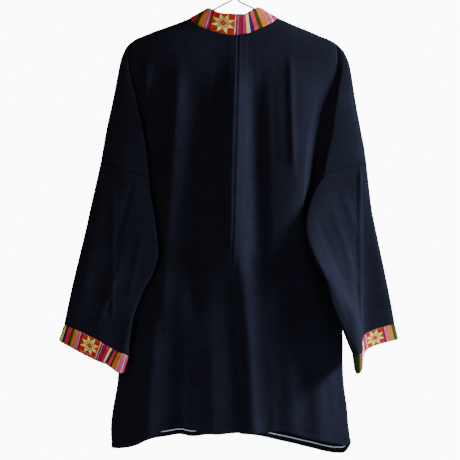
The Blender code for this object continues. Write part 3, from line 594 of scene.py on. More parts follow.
bodies, arms, patches = {}, {}, {}
for side in ("left", "right"):
    arms[side] = dict(zip(("back", "front"), armSections(side)))
    for face in ("back", "front"):
        grid, relief = bodyGrid(side, face, arms[side][face])
        arm = arms[side][face]
        inner = -1 if face == "back" else 0
        grid[:len(arm), -1] = arm[:, inner]
        bodies[side, face] = grid
        armRelief = seamRelief(np.linalg.norm(arm - arm[-1:], axis=2), arm[:, :, 0] + arm[:, :, 1])
        armRelief *= smoothStep(0, 30, arm[:, :, 1] - arm[0, 0, 1])
        waves = unevenness(arm[:, :, 0], arm[:, :, 1], jacket["waves"]["arm"])
        armRelief += calmEnds(arm, jacket["creaseEnds"]["arm"]) * waves
        relief[:len(arm), -1] = armRelief[:, inner]
        turned = (side == "left") != (face == "back")
        patches[face, side] = [(grid, clothMap(grid), turned, relief),
                               (arm, clothMap(arm, jacket["armMap"]),
                                turned != (face == "back"), armRelief)]
    stations = np.array([jacket["arm"][side][-1]] + jacket["sleeve"][side], float)
    places = np.linspace(0, 1, jacket["sleeveRows"] + 1)
    places = places - 0.06 * np.sin(2 * math.pi * places)  # closer rows near both seams
    rows = curve(np.linspace(0, 1, len(stations)), stations.reshape(len(stations), -1), places)
    ease = np.clip(places / 0.35, 0, 1)
    backLine, frontLine = ringLines(side, rows.reshape(-1, 6, 3), ease)
    backLine[0], frontLine[0] = arms[side]["back"][-1], arms[side]["front"][-1]
    top, bottom = stations[-1], np.array(jacket["cuffEdge"][side], float)
    share = np.linspace(0, 1, jacket["cuffRows"] + 1)[:, None, None]
    cuffBack, cuffFront = ringLines(side, top + share * (bottom - top), np.ones(len(share)))
    cuffBack[0], cuffFront[0] = backLine[-1], frontLine[-1]
    patches["sleeve", side] = []
    for grid, shift in ((backLine, 0.0), (frontLine, jacket["frontMap"])):
        x, drop = grid[:, :, 0], grid[:, :, 1]
        relief = (seamRelief(np.linalg.norm(grid - grid[:1], axis=2), x + drop)
                  + seamRelief(np.linalg.norm(grid - grid[-1:], axis=2), x + drop, 0.7)
                  + calmEnds(grid, jacket["creaseEnds"]["sleeve"])
                  * (foldDepth(jacket["sleeveCreases"][side], x, drop)
                     + unevenness(x, drop, jacket["waves"]["sleeve"])))
        patches["sleeve", side].append((grid, clothMap(grid, shift), side == "left", relief))
    patches["cuff", side] = cuffBack, cuffFront  # their weave and relief are added below
print("panels and sleeves laid out")


band = {
    # one repeat of the weave from left to right: width, colour, colour of its fine lines
    "repeat": [
        (46.6, "scarlet", "scarlet"), (1.4, "cream", "cream"), (4.6, "burgundy", "mauve"),
        (1.0, "mauve", "cream"), (7.3, "burgundy", "rose"), (1.6, "maroon", "maroon"),
        (8.0, "crimson", "crimson"), (7.2, "paleYellow", "paleYellow"),
        (8.3, "purple", "purple"), (7.7, "coral", "coral"), (7.3, "green", "green"),
        (9.0, "orange", "orange"), (0.8, "maroon", "maroon"), (1.7, "cream", "pink"),
        (7.8, "mauve", "pink"), (1.4, "cream", "pink"), (6.0, "rose", "rose"),
        (2.8, "maroon", "maroon"),
    ],
    "colours": {
        "scarlet": (0.62, 0.013, 0.005), "cream": (0.88, 0.68, 0.46),
        "burgundy": (0.17, 0.005, 0.026), "mauve": (0.40, 0.052, 0.085),
        "maroon": (0.022, 0.002, 0.004), "crimson": (0.62, 0.005, 0.065),
        "paleYellow": (0.86, 0.80, 0.17), "purple": (0.028, 0.003, 0.080),
        "coral": (0.80, 0.026, 0.036), "green": (0.022, 0.056, 0.005),
        "orange": (0.76, 0.170, 0.003), "pink": (0.70, 0.16, 0.20),
        "rose": (0.48, 0.018, 0.075), "outline": (0.12, 0.014, 0.005),
        "starYellow": (1.0, 0.80, 0.19), "ochre": (0.48, 0.14, 0.010),
        "redCorner": (0.42, 0.010, 0.005), "peach": (0.84, 0.27, 0.13),
    },
    # where the weave lies on each band: place along it, place in the repeat
    "collarPlaces": [(-87.0, -49.0), (-84.4, -45.5), (-78.3, -36.8), (-70.5, -29.5),
                     (-62.9, -19.7), (-51.0, -2.8), (-48.5, 0.0), (-1.9, 46.6), (82.0, 130.5)],
    # how far a stripe leans towards the right between base and top of the back of the collar
    "collarLean": [(-87, 28), (-84.4, 27), (-78.3, 21.7), (-70.5, 16), (-62.9, 13.1),
                   (-48.5, 8.6), (-24.7, 5.7), (-1.9, 2.9), (12.4, 0.4), (20.9, -1.5),
                   (30.4, -5.7), (36.5, -9.9), (45.4, -12.4), (52.6, -14), (61.2, -14.4),
                   (72.2, -18.6), (82, -22)],
    "cuffPlaces": {
        "left": [(0.0, 65.0), (7.5, 77.7), (12.0, 86.0), (19.5, 93.7), (24.5, 101.0),
                 (32.0, 110.0), (41.0, 127.7), (43.0, 130.5), (79.5, 177.1), (90.5, 191.4),
                 (98.5, 201.0), (102.0, 208.2), (107.5, 216.5), (112.5, 224.2),
                 (116.0, 231.5), (123.0, 240.5), (134.0, 250.6), (136.5, 254.0)],
        "right": [(0.0, 92.5), (8.5, 101.0), (16.5, 110.0), (25.0, 128.5), (26.0, 130.5),
                  (63.0, 177.1), (69.0, 191.4), (78.0, 201.0), (114.0, 208.2),
                  (119.5, 216.5), (120.0, 224.2), (136.0, 231.5)],
    },
    # top edge of the collar on the back, x and drop, and how its band stands off the neck seam
    "collarTop": [(-52, 15), (-40, 19.8), (-35, 23), (-21, 26.8), (-4, 27.6), (10.5, 28.2),
                  (21.5, 26.8), (26, 23.4), (32, 19.8), (45.5, 13.5)],
    "collarDepth": 15.0, "collarFold": 3.6, "collarRows": 16, "weaveHeight": 41.0,
    "leanShoulder": (35.5, 21.2, 0.0), "leanFront": (0.0, 38.5, 4.0),
    # how fast the collar turns over the shoulder; share by which it bulges, and within what depth
    "collarTurn": 12, "collarBulge": (0.35, 12),
    # height and width of the groove at its seam, the roll beside it and the roll of its edge;
    # height and length of its slow wave
    "sewn": (0.63, 2.5), "besideSewn": (0.45, 6, 5), "edge": (0.5, 2.2), "wave": (0.18, 17.0),
    # gaps of the threads, of the fine lines along and up the band and of the rows by the star
    "threadGap": 0.9, "lineGaps": (2.1, 3.2), "rowGap": 2.9,
    # star: its size across and up, bounds of a petal and of its rim, and sizes of the diamonds
    "starSize": (1.02, 1.06), "petal": (0.586, 0.414), "rim": (0.66, 0.47),
    "diamonds": ((0.62, "scarlet"), (0.50, "starYellow"), (0.36, "redCorner"), (0.22, "ochre")),
    "threadHeight": 0.00016, "ripple": (300.0, 60.0, 1.0), "shadeNoise": 260.0,
    # brightness: the least, and the shares of the shade and of the threads; roughness and what
    # the shade adds to it
    "dim": (0.68, 0.5, 0.16), "rough": (0.62, 0.25), "gloss": 0.10, "sheen": 0.02,
}


def stretch(places, at):
    # Place in the weave; beyond the ends of the table it runs on without stretch.
    places = np.array(places)
    inside = np.interp(at, places[:, 0], places[:, 1])
    return inside + np.minimum(at - places[0, 0], 0) + np.maximum(at - places[-1, 0], 0)


def collarPatch():
    # Band from its left front end round the back of the neck to its right front end: straight
    # lines from the neck seam up to the top edge, bulging a little between them.
    count = jacket["neckColumns"] + 1
    frontLeft, backLeft, backRight, frontRight = (
        bodies[key][0, :count] for key in (("left", "front"), ("left", "back"),
                                           ("right", "back"), ("right", "front")))
    base = np.concatenate([frontLeft, backLeft[-2::-1], backRight[1:], frontRight[-2::-1]])
    number = np.arange(len(base))
    middle = 2 * (count - 1)
    x, drop, y = base.T
    left = number <= middle
    sign = np.where(left, -1.0, 1.0)
    neckOut = np.where(left, jacket["neckPoint"]["left"][0], jacket["neckPoint"]["right"][0])
    corner = np.where(left, band["collarTop"][0][0], band["collarTop"][-1][0])

    centre = base[middle, 0]
    share = (x - centre) / (sign * neckOut - centre)
    backX = centre + share * (corner - centre)
    backDrop = table(band["collarTop"], backX)
    spread = np.clip(1 - share ** 2, 0, 1)
    backY = (-band["collarDepth"] * spread ** 0.9
             - band["collarFold"] * np.minimum(1, spread * band["collarTurn"]) ** 0.5)

    share = np.abs(x) / neckOut
    low, high = np.array(band["leanFront"]), np.array(band["leanShoulder"])
    lean = low + share[:, None] ** 1.6 * (high - low)
    frontX = x + share ** 1.6 * (corner - sign * neckOut)
    frontDrop = drop - lean[:, 1]
    frontY = (y - lean[:, 2] + (band["collarFold"] - jacket["shoulderRound"])
              * np.minimum(1, np.clip(1 - share, 0, 1) * band["collarTurn"]))
    folds = (count - 1, 3 * (count - 1))
    onBack = (number >= folds[0]) & (number <= folds[1])
    top = np.where(onBack[:, None], np.stack([backX, backDrop, backY], axis=1),
                   np.stack([frontX, frontDrop, frontY], axis=1))
    top[list(folds), 2] = 0.0

    up = np.linspace(0, 1, band["collarRows"] + 1)[:, None, None]
    grid = base + up * (top - base)
    bulge, within = band["collarBulge"]
    flat = np.clip(1 - np.abs(grid[:, :, 2]) / within, 0, 1)
    grid[:, :, 2] *= 1 + bulge * np.sin(math.pi * up[:, :, 0]) * flat

    # the weave leans as its stripes do over the back, then follows the length of the rows
    lean = np.array(band["collarLean"], float)
    along = np.zeros(grid.shape[:2])
    for row in range(len(grid)):
        height = up[row, 0, 0]
        places = lean[:, 0] + height * lean[:, 1]
        back = grid[row, folds[0]:folds[1] + 1, 0]
        along[row, folds[0]:folds[1] + 1] = np.interp(back, places, lean[:, 0])
        length = np.concatenate([[0], np.cumsum(np.linalg.norm(np.diff(grid[row], axis=0),
                                                               axis=1))])
        start, end = along[row, folds[0]], along[row, folds[1]]
        along[row, :folds[0]] = start - (length[folds[0]] - length[:folds[0]])
        along[row, folds[1] + 1:] = end + length[folds[1] + 1:] - length[folds[1]]
    high = np.broadcast_to(up[:, :, 0] * band["weaveHeight"], along.shape)
    weave = np.stack([stretch(band["collarPlaces"], along), high], axis=2)
    return grid, weave, False, bandRelief(grid)


def bandRelief(grid):
    # Drawn in where it is sewn on and rolled at the free edge, both bell curves, with a slow
    # wave along it.
    fromSeam = np.linalg.norm(grid - grid[:1], axis=2)
    fromEdge = np.linalg.norm(grid - grid[-1:], axis=2)
    deep, half = band["sewn"]
    high, away, width = band["besideSewn"]
    rolled, edge = band["edge"]
    size, gap = band["wave"]
    return (-deep * np.exp(-(fromSeam / half) ** 2)
            + high * np.exp(-((fromSeam - away) / width) ** 2)
            - rolled * np.exp(-(fromEdge / edge) ** 2)
            + size * np.sin(2 * math.pi * (grid[:, :, 0] + grid[:, :, 1]) / gap))


patches["collar", ""] = [collarPatch()]
for side in ("left", "right"):
    cuffBack, cuffFront = patches["cuff", side]
    frontLong = alongLength(cuffFront)
    made = []
    for grid, along in ((cuffBack, alongLength(cuffBack)), (cuffFront, frontLong - frontLong[-1])):
        place = stretch(band["cuffPlaces"][side], along)
        high = band["weaveHeight"] * (1 - np.linspace(0, 1, len(grid)))
        made.append((grid, np.stack(np.meshgrid(place, high), axis=2), side == "left",
                     bandRelief(grid)))
    patches["cuff", side] = made
print("bands laid out")


def toMetres(grid):
    # Out, drop and depth become metres along X, Z and Y of the shared frame.
    x, drop, y = np.moveaxis(grid, -1, 0)
    return np.stack([x, y, -(drop + forkBelowHook)], axis=-1) * mm


def quads(shape, turned):
    # Corner numbers of the cells of a grid, turned round where the surface faces the other way.
    number = np.arange(shape[0] * shape[1]).reshape(shape[:2])
    cells = np.stack([number[:-1, :-1], number[:-1, 1:], number[1:, 1:], number[1:, :-1]],
                     axis=2).reshape(-1, 4)
    return cells[:, ::-1] if turned else cells


def commonNormals():
    # One direction for each place of all the cloth: the sum of the areas of the cells round
    # it, so that pieces which meet at a seam have their walls in line.
    points, cells, start = [], [], 0
    for piece in patches.values():
        for grid, _, turned, _ in piece:
            flat = toMetres(grid).reshape(-1, 3)
            points.append(flat)
            cells.append(quads(grid.shape, turned) + start)
            start += len(flat)
    points, cells = np.concatenate(points), np.concatenate(cells)
    same = np.unique(np.round(points, 7), axis=0, return_inverse=True)[1].ravel()
    corners = points[cells]
    area = np.cross(corners[:, 2] - corners[:, 0], corners[:, 3] - corners[:, 1])
    total = np.zeros((same.max() + 1, 3))
    for corner in range(4):
        np.add.at(total, same[cells[:, corner]], area)
    total /= np.maximum(np.linalg.norm(total, axis=1), 1e-12)[:, None]
    return total[same], same


def clothMesh(name, piece, normals, same, wall):
    # Closed shell: the surface moved half the wall to each side, joined along its free edges.
    points, cells, weave, start = [], [], [], 0
    for grid, flatMap, turned, _ in piece:
        flat = toMetres(grid).reshape(-1, 3)
        points.append(flat)
        weave.append(flatMap.reshape(-1, 2) * mm)
        cells.append(quads(grid.shape, turned) + start)
        start += len(flat)
    points, cells, weave = np.concatenate(points), np.concatenate(cells), np.concatenate(weave)
    count = len(points)

    edges = np.stack([cells, np.roll(cells, -1, axis=1)], axis=2).reshape(-1, 2)
    joined = np.sort(same[edges], axis=1)
    real = joined[:, 0] != joined[:, 1]
    edges, joined = edges[real], joined[real]
    where, times = np.unique(joined, axis=0, return_inverse=True, return_counts=True)[1:]
    rim = edges[times[where.ravel()] == 1]

    walls = np.concatenate([points + normals * wall * mm / 2, points - normals * wall * mm / 2])
    faces = np.concatenate([cells, cells[:, ::-1] + count,
                            np.stack([rim[:, 1], rim[:, 0], rim[:, 0] + count,
                                      rim[:, 1] + count], axis=1)])
    mesh = bpy.data.meshes.new(name)
    mesh.vertices.add(len(walls))
    mesh.vertices.foreach_set("co", walls.astype(np.float32).ravel())
    mesh.loops.add(faces.size)
    mesh.loops.foreach_set("vertex_index", faces.astype(np.int32).ravel())
    mesh.polygons.add(len(faces))
    mesh.polygons.foreach_set("loop_start", np.arange(0, faces.size, 4, dtype=np.int32))
    mesh.update(calc_edges=True)
    layer = mesh.uv_layers.new(name="UVMap")
    layer.data.foreach_set("uv", weave[faces.ravel() % count].astype(np.float32).ravel())
    shape = bmesh.new()
    shape.from_mesh(mesh)
    bmesh.ops.remove_doubles(shape, verts=shape.verts[:], dist=2e-5)
    shape.to_mesh(mesh)
    shape.free()
    mesh.validate()
    mesh.polygons.foreach_set("use_smooth", [True] * len(mesh.polygons))
    made = bpy.data.objects.new(name, mesh)
    bpy.context.scene.collection.objects.link(made)
    return made


class Wire:
    # A socket that can be used in sums: each operator adds the Math node it stands for.

    def __init__(self, tree, socket):
        self.tree, self.socket = tree, socket

    def maths(self, operation, *values):
        node = self.tree.nodes.new("ShaderNodeMath")
        node.operation = operation
        for slot, value in zip(node.inputs, values):
            if isinstance(value, Wire):
                self.tree.links.new(value.socket, slot)
            else:
                slot.default_value = value
        return Wire(self.tree, node.outputs[0])

    def __add__(self, other):
        return self.maths("ADD", self, other)

    __radd__ = __add__

    def __mul__(self, other):
        return self.maths("MULTIPLY", self, other)

    __rmul__ = __mul__

    def __sub__(self, other):
        return self.maths("SUBTRACT", self, other)

    def __rsub__(self, other):
        return self.maths("SUBTRACT", other, self)

    def __truediv__(self, other):
        return self.maths("DIVIDE", self, other)

    def __rtruediv__(self, other):
        return self.maths("DIVIDE", other, self)

    def __mod__(self, other):
        return self.maths("FLOORED_MODULO", self, other)

    def __lt__(self, other):
        return self.maths("LESS_THAN", self, other)

    def __gt__(self, other):
        return self.maths("GREATER_THAN", self, other)

    def __abs__(self):
        return self.maths("ABSOLUTE", self)

    def sine(self):
        return self.maths("SINE", self)

    def least(self, other):
        return self.maths("MINIMUM", self, other)

    def most(self, other):
        return self.maths("MAXIMUM", self, other)

    def clipped(self):
        return self.maths("MAXIMUM", self.maths("MINIMUM", self, 1.0), 0.0)


class Finish:
    # A material and the one way of adding any other node to it.

    def __init__(self, name):
        self.material = bpy.data.materials.new(name)
        self.material.use_nodes = True
        self.tree = self.material.node_tree
        self.shader = self.tree.nodes["Principled BSDF"]

    def node(self, kind, settings=None, output=0, **sockets):
        made = self.tree.nodes.new(kind)
        for key, value in (settings or {}).items():
            if key == "stops":
                ramp = made.color_ramp
                ramp.interpolation = "CONSTANT"
                while len(ramp.elements) < len(value):
                    ramp.elements.new(1.0)
                for number, (place, colour) in enumerate(value):
                    ramp.elements[number].position = place
                    ramp.elements[number].color = (*colour, 1)
            else:
                setattr(made, key, value)
        for key, value in sockets.items():
            slot = made.inputs[int(key[1:])] if key[1:].isdigit() else made.inputs[key]
            if isinstance(value, Wire):
                self.tree.links.new(value.socket, slot)
            elif hasattr(slot.default_value, "__len__") and len(value) == 3:
                slot.default_value = (*value, 1) if len(slot.default_value) == 4 else value
            else:
                slot.default_value = value
        return Wire(self.tree, made.outputs[output])

    def flatMap(self):
        # Along and down of the piece's own map, in millimetres.
        place = self.node("ShaderNodeUVMap", {"uv_map": "UVMap"})
        split = self.node("ShaderNodeSeparateXYZ", s0=place)
        down = Wire(self.tree, split.socket.node.outputs[1])
        return place, split * 1000.0, down * 1000.0

    def noise(self, place, scale, detail, rough=0.5):
        return self.node("ShaderNodeTexNoise", Vector=place, Scale=scale, Detail=detail,
                         Roughness=rough)

    def mixed(self, factor, first, second):
        return self.node("ShaderNodeMix", {"data_type": "RGBA"}, 2, s0=factor, s6=first,
                         s7=second)

    def feed(self, socket, value):
        if isinstance(value, Wire):
            self.tree.links.new(value.socket, self.shader.inputs[socket])
        else:
            self.shader.inputs[socket].default_value = value

    def bump(self, height, distance, strength):
        self.feed("Normal", self.node("ShaderNodeBump", Height=height, Distance=distance,
                                      Strength=strength))


cotton = {
    "dark": (0.0072, 0.0061, 0.0072), "light": (0.0165, 0.0166, 0.0260),
    "threadGap": 0.62, "threadHeight": 0.00010, "sheen": 0.012,
    "sheenTint": (0.22, 0.30, 0.85), "lint": (0.30, 0.31, 0.34), "lintCell": 46.0,
    "lintSize": 0.013, "slub": (40.0, 900.0), "washed": 14.0, "mottled": 75.0,
    "ribGap": 1.1, "ribHeight": 0.0001,  # of the selvage
    "selvageWorn": (0.62, 0.60, 0.55), "selvageWhite": (0.84, 0.83, 0.80), "selvageNoise": 180.0,
    # shares of the washed and the mottled patches, the slubs and the weave in the shade, and
    # what is taken off their sum; roughness and what the slubs add to it
    "shares": (0.7, 0.5, 0.35, 0.15), "less": 0.57, "rough": (0.80, 0.16), "gloss": 0.03,
    "sheenRough": 0.45, "lintShare": 0.8, "slubHeight": 1.5,
}


def selvageFinish(name):
    # White woven edge of the cloth: fine ribs across it, a little grey where they are worn.
    finish = Finish(name)
    place, along, _ = finish.flatMap()
    rib = (along * (2 * math.pi / cotton["ribGap"])).sine() * 0.5 + 0.5
    worn = finish.noise(place, cotton["selvageNoise"], 3.0)
    finish.feed("Base Color", finish.mixed((worn * 1.4 - 0.3).clipped(), cotton["selvageWorn"],
                                           cotton["selvageWhite"]))
    finish.feed("Roughness", 0.75 + worn * 0.2)
    finish.bump(rib, cotton["ribHeight"], 0.6)
    return finish.material


def cottonFinish(name):
    # Plain weave of dark threads: warp and weft are two sine waves, whichever is higher shows.
    # Long slubs and washed patches vary the colour, and a few specks of lint lie on it.
    finish = Finish(name)
    place, along, down = finish.flatMap()
    turn = 2 * math.pi / cotton["threadGap"]
    low, high = cotton["slub"]
    slub, slubDown = (finish.noise(finish.node("ShaderNodeMapping", s0=place, Scale=scale),
                                   1.0, 2.0) for scale in ((low, high, 1.0), (high, low, 1.0)))
    warp = (along * turn).sine() * ((down * turn).sine() > 0.0)
    weft = (down * turn).sine() * ((along * turn).sine() > 0.0)
    weave = abs(warp).most(abs(weft))
    washed = finish.noise(place, cotton["washed"], 4.0, 0.6)
    mottled = finish.noise(place, cotton["mottled"], 3.0, 0.6)
    ofWashed, ofMottled, ofSlub, ofWeave = cotton["shares"]
    shade = (washed * ofWashed + mottled * ofMottled + slub * ofSlub + slubDown * ofSlub
             + weave * ofWeave - cotton["less"]).clipped()
    colour = finish.mixed(shade, cotton["dark"], cotton["light"])
    cells = finish.node("ShaderNodeTexVoronoi", Vector=place, Scale=1000.0 / cotton["lintCell"])
    specks = (cells < cotton["lintSize"]) * cotton["lintShare"]
    colour = finish.mixed(specks, colour, cotton["lint"])
    finish.feed("Base Color", colour)
    rough, more = cotton["rough"]
    finish.feed("Roughness", rough + slub * more)
    finish.feed("Specular IOR Level", cotton["gloss"])
    finish.feed("Sheen Weight", cotton["sheen"])
    finish.feed("Sheen Roughness", cotton["sheenRough"])
    finish.feed("Sheen Tint", (*cotton["sheenTint"], 1))
    slubs = slub * cotton["slubHeight"] + slubDown * cotton["slubHeight"]
    finish.bump(weave + slubs, cotton["threadHeight"], 0.7)
    return finish.material


def bandFinish(name):
    # Woven band: the repeat's stripes along it, and in the wide red block of each repeat an
    # eight-pointed star. Folded into one eighth of a square, a petal is where across minus up
    # and up are both under a bound, with a dark rim a little wider; diamonds lie where across
    # plus up is small.
    finish = Finish(name)
    colours = band["colours"]
    place, along, up = finish.flatMap()
    whole = sum(width for width, colour, line in band["repeat"])
    starWidth = band["repeat"][0][0]
    turn = along % whole

    stops, lines, at = [], [], 0.0
    for width, colour, line in band["repeat"]:
        stops.append((at / whole, colours[colour]))
        lines.append((at / whole, colours[line]))
        at += width
    ground = finish.node("ShaderNodeValToRGB", {"stops": stops}, Fac=turn / whole)
    fine = finish.node("ShaderNodeValToRGB", {"stops": lines}, Fac=turn / whole)
    ripple = finish.noise(finish.node("ShaderNodeMapping", s0=place, Scale=band["ripple"]),
                          1.0, 3.0)
    lineGap, stepGap = (2 * math.pi / gap for gap in band["lineGaps"])
    threads = (turn * lineGap).sine() + (up * stepGap).sine() * 0.5
    colour = finish.mixed((threads + ripple) > 0.75, ground, fine)

    wide, tall = band["starSize"]
    across = abs(turn * (2.0 / starWidth) - 1.0) * wide
    high = abs(up * (2.0 / band["weaveHeight"]) - 1.0) * tall
    big = across.most(high)
    small = across.least(high)
    slant, level = band["petal"]
    petal = ((big - small) < slant) * (small < level) * (big < 1.0)
    slant, level = band["rim"]
    rim = ((big - small) < slant) * (small < level) * (big < 1.04)
    seam = 1.0 - (small > 0.045) * ((big - small) > 0.06)
    ring = across + high
    rows = (up * (2 * math.pi / band["rowGap"])).sine() > 0.25
    star = finish.mixed(rows * 0.7, colours["scarlet"], colours["ochre"])
    star = finish.mixed(small > 0.50, star, colours["scarlet"])
    star = finish.mixed(rim, star, colours["outline"])
    star = finish.mixed(petal, star, colours["starYellow"])
    star = finish.mixed(seam * petal * 0.85, star, colours["ochre"])
    for size, shade in band["diamonds"]:
        star = finish.mixed(ring < size, star, colours[shade])
    star = finish.mixed(high > 1.0, star, colours["peach"])
    colour = finish.mixed(turn < starWidth, colour, star)

    threadTurn = 2 * math.pi / band["threadGap"]
    rib = (along * threadTurn).sine() * 0.5 + 0.5
    pick = (up * threadTurn * 0.8 + rib * 2.0).sine() * 0.5 + 0.5
    shade = finish.noise(place, band["shadeNoise"], 3.0, 0.6)
    least, ofShade, ofThreads = band["dim"]
    dim = (least + shade * ofShade + rib * pick * ofThreads).clipped()
    colour = finish.node("ShaderNodeMix", {"data_type": "RGBA", "blend_type": "MULTIPLY"}, 2,
                         s0=1.0, s6=colour,
                         s7=finish.node("ShaderNodeCombineColor", s0=dim, s1=dim, s2=dim))
    finish.feed("Base Color", colour)
    rough, more = band["rough"]
    finish.feed("Roughness", rough + shade * more)
    finish.feed("Specular IOR Level", band["gloss"])
    finish.feed("Sheen Weight", band["sheen"])
    finish.bump(rib * 0.6 + pick * 0.6 + ripple * 0.5, band["threadHeight"], 0.8)
    return finish.material


normals, same = commonNormals()
start = 0
for piece in patches.values():
    for grid, weave, turned, relief in piece:
        count = relief.size
        x, y, z = normals[start:start + count].T.reshape(3, *relief.shape)
        grid += np.stack([x, -z, y], axis=2) * relief[:, :, None]
        start += count
normals, same = commonNormals()
cottonCloth = cottonFinish("navy cotton")
wovenBand = bandFinish("woven band")
whiteSelvage = selvageFinish("white selvage")


def handOver(piece, node, paint):
    # Hand a finished piece to the frame in place of its node.
    piece.data.materials.append(paint)
    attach(piece, "root")
    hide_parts(node)
    return piece


def hemPieces(name, patch, normals, same, selvage):
    # The lowest rows once more, moved inward by wall and gap: cloth turned up inside the hem,
    # and for the fronts the white selvage along its top edge, one layer further in.
    grid, weave, turned, relief = patch
    rows = jacket["hemRows"]
    out = normals.reshape(*relief.shape, 3)[-rows:]
    number = same.reshape(relief.shape)[-rows:]
    layers = [("_hem", rows, jacket["cottonWall"], cottonCloth)]
    if selvage:
        layers.append(("_selvage", jacket["selvageRows"], jacket["selvageWall"], whiteSelvage))
    made, inward = [], jacket["cottonWall"] / 2
    for ending, count, wall, paint in layers:
        inward += jacket["hemGap"] + wall / 2
        step = out[:count]
        moved = grid[-rows:][:count] - inward * np.stack([step[:, :, 0], -step[:, :, 2],
                                                          step[:, :, 1]], axis=2)
        part = [(moved, weave[-rows:][:count], turned, relief[:count])]
        turnUp = clothMesh(name + ending, part, step.reshape(-1, 3), number[:count].ravel(), wall)
        made.append(handOver(turnUp, name, paint))
        inward += wall / 2
    return made


made, start = [], 0
for (part, side), piece in patches.items():
    name = "_".join(filter(None, (part, side)))
    count = sum(relief.size for grid, weave, turned, relief in piece)
    isBand = part in ("cuff", "collar")
    wall = jacket["bandWall"] if isBand else jacket["cottonWall"]
    shell = clothMesh(name + ("_band" if isBand else "_cloth"), piece,
                      normals[start:start + count], same[start:start + count], wall)
    handOver(shell, name, wovenBand if isBand else cottonCloth)
    made.append(name)
    hems = []
    if part in ("back", "front"):
        first = piece[0][3].size
        hems = hemPieces(name, piece[0], normals[start:start + first],
                         same[start:start + first], part == "front")
    start += count
print("cloth made:", ", ".join(made))


hanger = {
    "wireRadius": 1.6, "clear": 0.35, "hookRadius": 20.0, "hookAngles": (197.0, -52.0),
    "twistTurns": 2.5, "twistPitch": 4.2, "twistGap": 0.45, "barDrop": 114.0,
    # places of the neck under the hook and of the wire up to each shoulder, out, drop and depth
    "neck": [(6.5, -38.0, 0), (2.0, -30.0, 0), (0.0, -24.0, 0), (0.0, -16.0, 0), (0.0, -8.5, 0),
             (-1.6, -3.6, 0), (-6.0, 0.2, 0), (-16.0, 5.5, 0), (-33.0, 14.4, 0)],
    "backUp": [(36.0, 16.5, 0), (18.0, 7.6, 0), (8.0, 2.6, 0), (5.0, -0.6, 0), (4.0, -4.0, 0)],
    "underNeck": [(50.0, 23.4), (68.0, 31.6)], "twistDrop": -8.0,
    "steel": (0.030, 0.030, 0.033), "worn": (0.12, 0.12, 0.125), "wornNoise": 120.0,
    "metal": 0.85, "rough": (0.30, 0.25), "scratches": 900.0, "scratchHeight": 0.00005,
}


def shoulderWire(side):
    # Places of the wire from the fork out along a shoulder and round its end: the ridge moved
    # down along its own normal by half the cloth and half the wire.
    rest = hanger["wireRadius"] + hanger["clear"] + jacket["cottonWall"] / 2
    ridge = jacket["ridge"][side]
    out = np.linspace(jacket["neckPoint"][side][0] + 2, ridge[-1][0] - 1, 10)
    slope = (table(ridge, out + 1) - table(ridge, out - 1)) / 2
    length = np.hypot(1, slope)
    line = hanger["underNeck"] + list(zip(out - rest * slope / length,
                                          table(ridge, out) + rest / length))
    endOut, endDrop = line[-1]
    bar = hanger["barDrop"]
    return line + [(endOut + 0.2, endDrop + 4), (endOut - 2.2, bar - 4.5), (endOut - 6.5, bar - 1),
                   (endOut - 12, bar)]


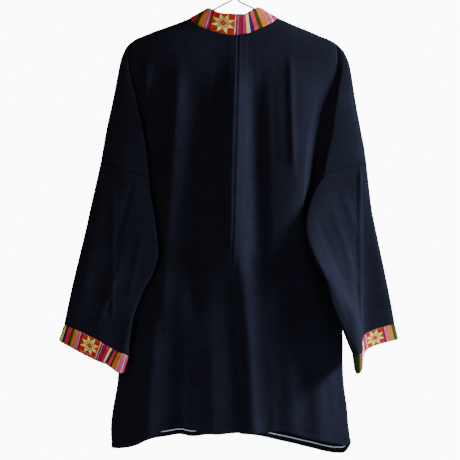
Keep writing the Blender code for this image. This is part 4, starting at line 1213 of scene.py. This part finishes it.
def tube(name, path, radius, around=12):
    # Round wire: a circle carried along the path. Its frame turns as little as it can, the
    # part of the last frame that is square to the new direction.
    path = np.array(path, float)
    step = np.gradient(path, axis=0)
    step /= np.linalg.norm(step, axis=1)[:, None]
    frames = [np.cross(step[0], [0, 1, 0.001])]
    for direction in step[1:]:
        frames.append(frames[-1] - direction * (frames[-1] @ direction))
    first = np.array(frames)
    first /= np.linalg.norm(first, axis=1)[:, None]
    second = np.cross(step, first)
    turn = np.linspace(0, 2 * math.pi, around, endpoint=False)[None, :, None]
    rings = path[:, None] + radius * (np.cos(turn) * first[:, None]
                                      + np.sin(turn) * second[:, None])
    number = np.arange(len(path) * around).reshape(len(path), around)
    beside = np.roll(number, -1, axis=1)
    faces = np.stack([number[:-1], beside[:-1], beside[1:], number[1:]], axis=2).reshape(-1, 4)
    mesh = bpy.data.meshes.new(name)
    ends = [tuple(number[0][::-1]), tuple(number[-1])]
    mesh.from_pydata(toMetres(rings.reshape(-1, 3)).tolist(), [], faces.tolist() + ends)
    shape = bmesh.new()
    shape.from_mesh(mesh)
    bmesh.ops.recalc_face_normals(shape, faces=shape.faces[:])
    shape.to_mesh(mesh)
    shape.free()
    mesh.polygons.foreach_set("use_smooth", [len(face.vertices) == 4 for face in mesh.polygons])
    wire = bpy.data.objects.new(name, mesh)
    bpy.context.scene.collection.objects.link(wire)
    return wire


def hangerPath():
    # One bent wire: the hook, the neck under it, both shoulders and the bar, and the twist.
    hookTop = -forkBelowHook + hanger["hookRadius"]
    radius = hanger["hookRadius"] + hanger["wireRadius"]
    turn = np.radians(np.linspace(*hanger["hookAngles"], 22))
    path = list(zip(radius * np.cos(turn), hookTop - radius * np.sin(turn), turn * 0))
    path += hanger["neck"]
    path += [(-out, drop, 0) for out, drop in shoulderWire("left")]
    path += [(out, drop, 0) for out, drop in reversed(shoulderWire("right"))]
    path += hanger["backUp"]
    around = 2 * hanger["wireRadius"] + hanger["twistGap"]
    turn = np.arange(int(hanger["twistTurns"] * 12) + 1) * math.pi / 6
    rise = hanger["twistDrop"] - hanger["twistPitch"] * turn / (2 * math.pi)
    path += list(zip(around * np.cos(turn), rise, -around * np.sin(turn)))
    path = np.array(path)
    length = np.concatenate([[0], np.cumsum(np.linalg.norm(np.diff(path, axis=0), axis=1))])
    fine = np.concatenate([np.linspace(a, b, 5)[:-1] for a, b in zip(length[:-1], length[1:])]
                          + [length[-1:]])
    return curve(length, path, fine)


def steelFinish():
    # Dull grey steel with brighter worn patches.
    finish = Finish("hanger steel")
    place = finish.node("ShaderNodeTexCoord", output=3)
    worn = finish.noise(place, hanger["wornNoise"], 4.0, 0.7)
    finish.feed("Base Color", finish.mixed((worn * 2.2 - 0.8).clipped(), hanger["steel"],
                                           hanger["worn"]))
    finish.feed("Metallic", hanger["metal"])
    rough, more = hanger["rough"]
    finish.feed("Roughness", rough + worn * more)
    finish.bump(finish.noise(place, hanger["scratches"], 2.0), hanger["scratchHeight"], 0.4)
    return finish.material


wire = tube("hanger_wire", hangerPath(), hanger["wireRadius"])
handOver(wire, "hanger", steelFinish())
print("hanger made")
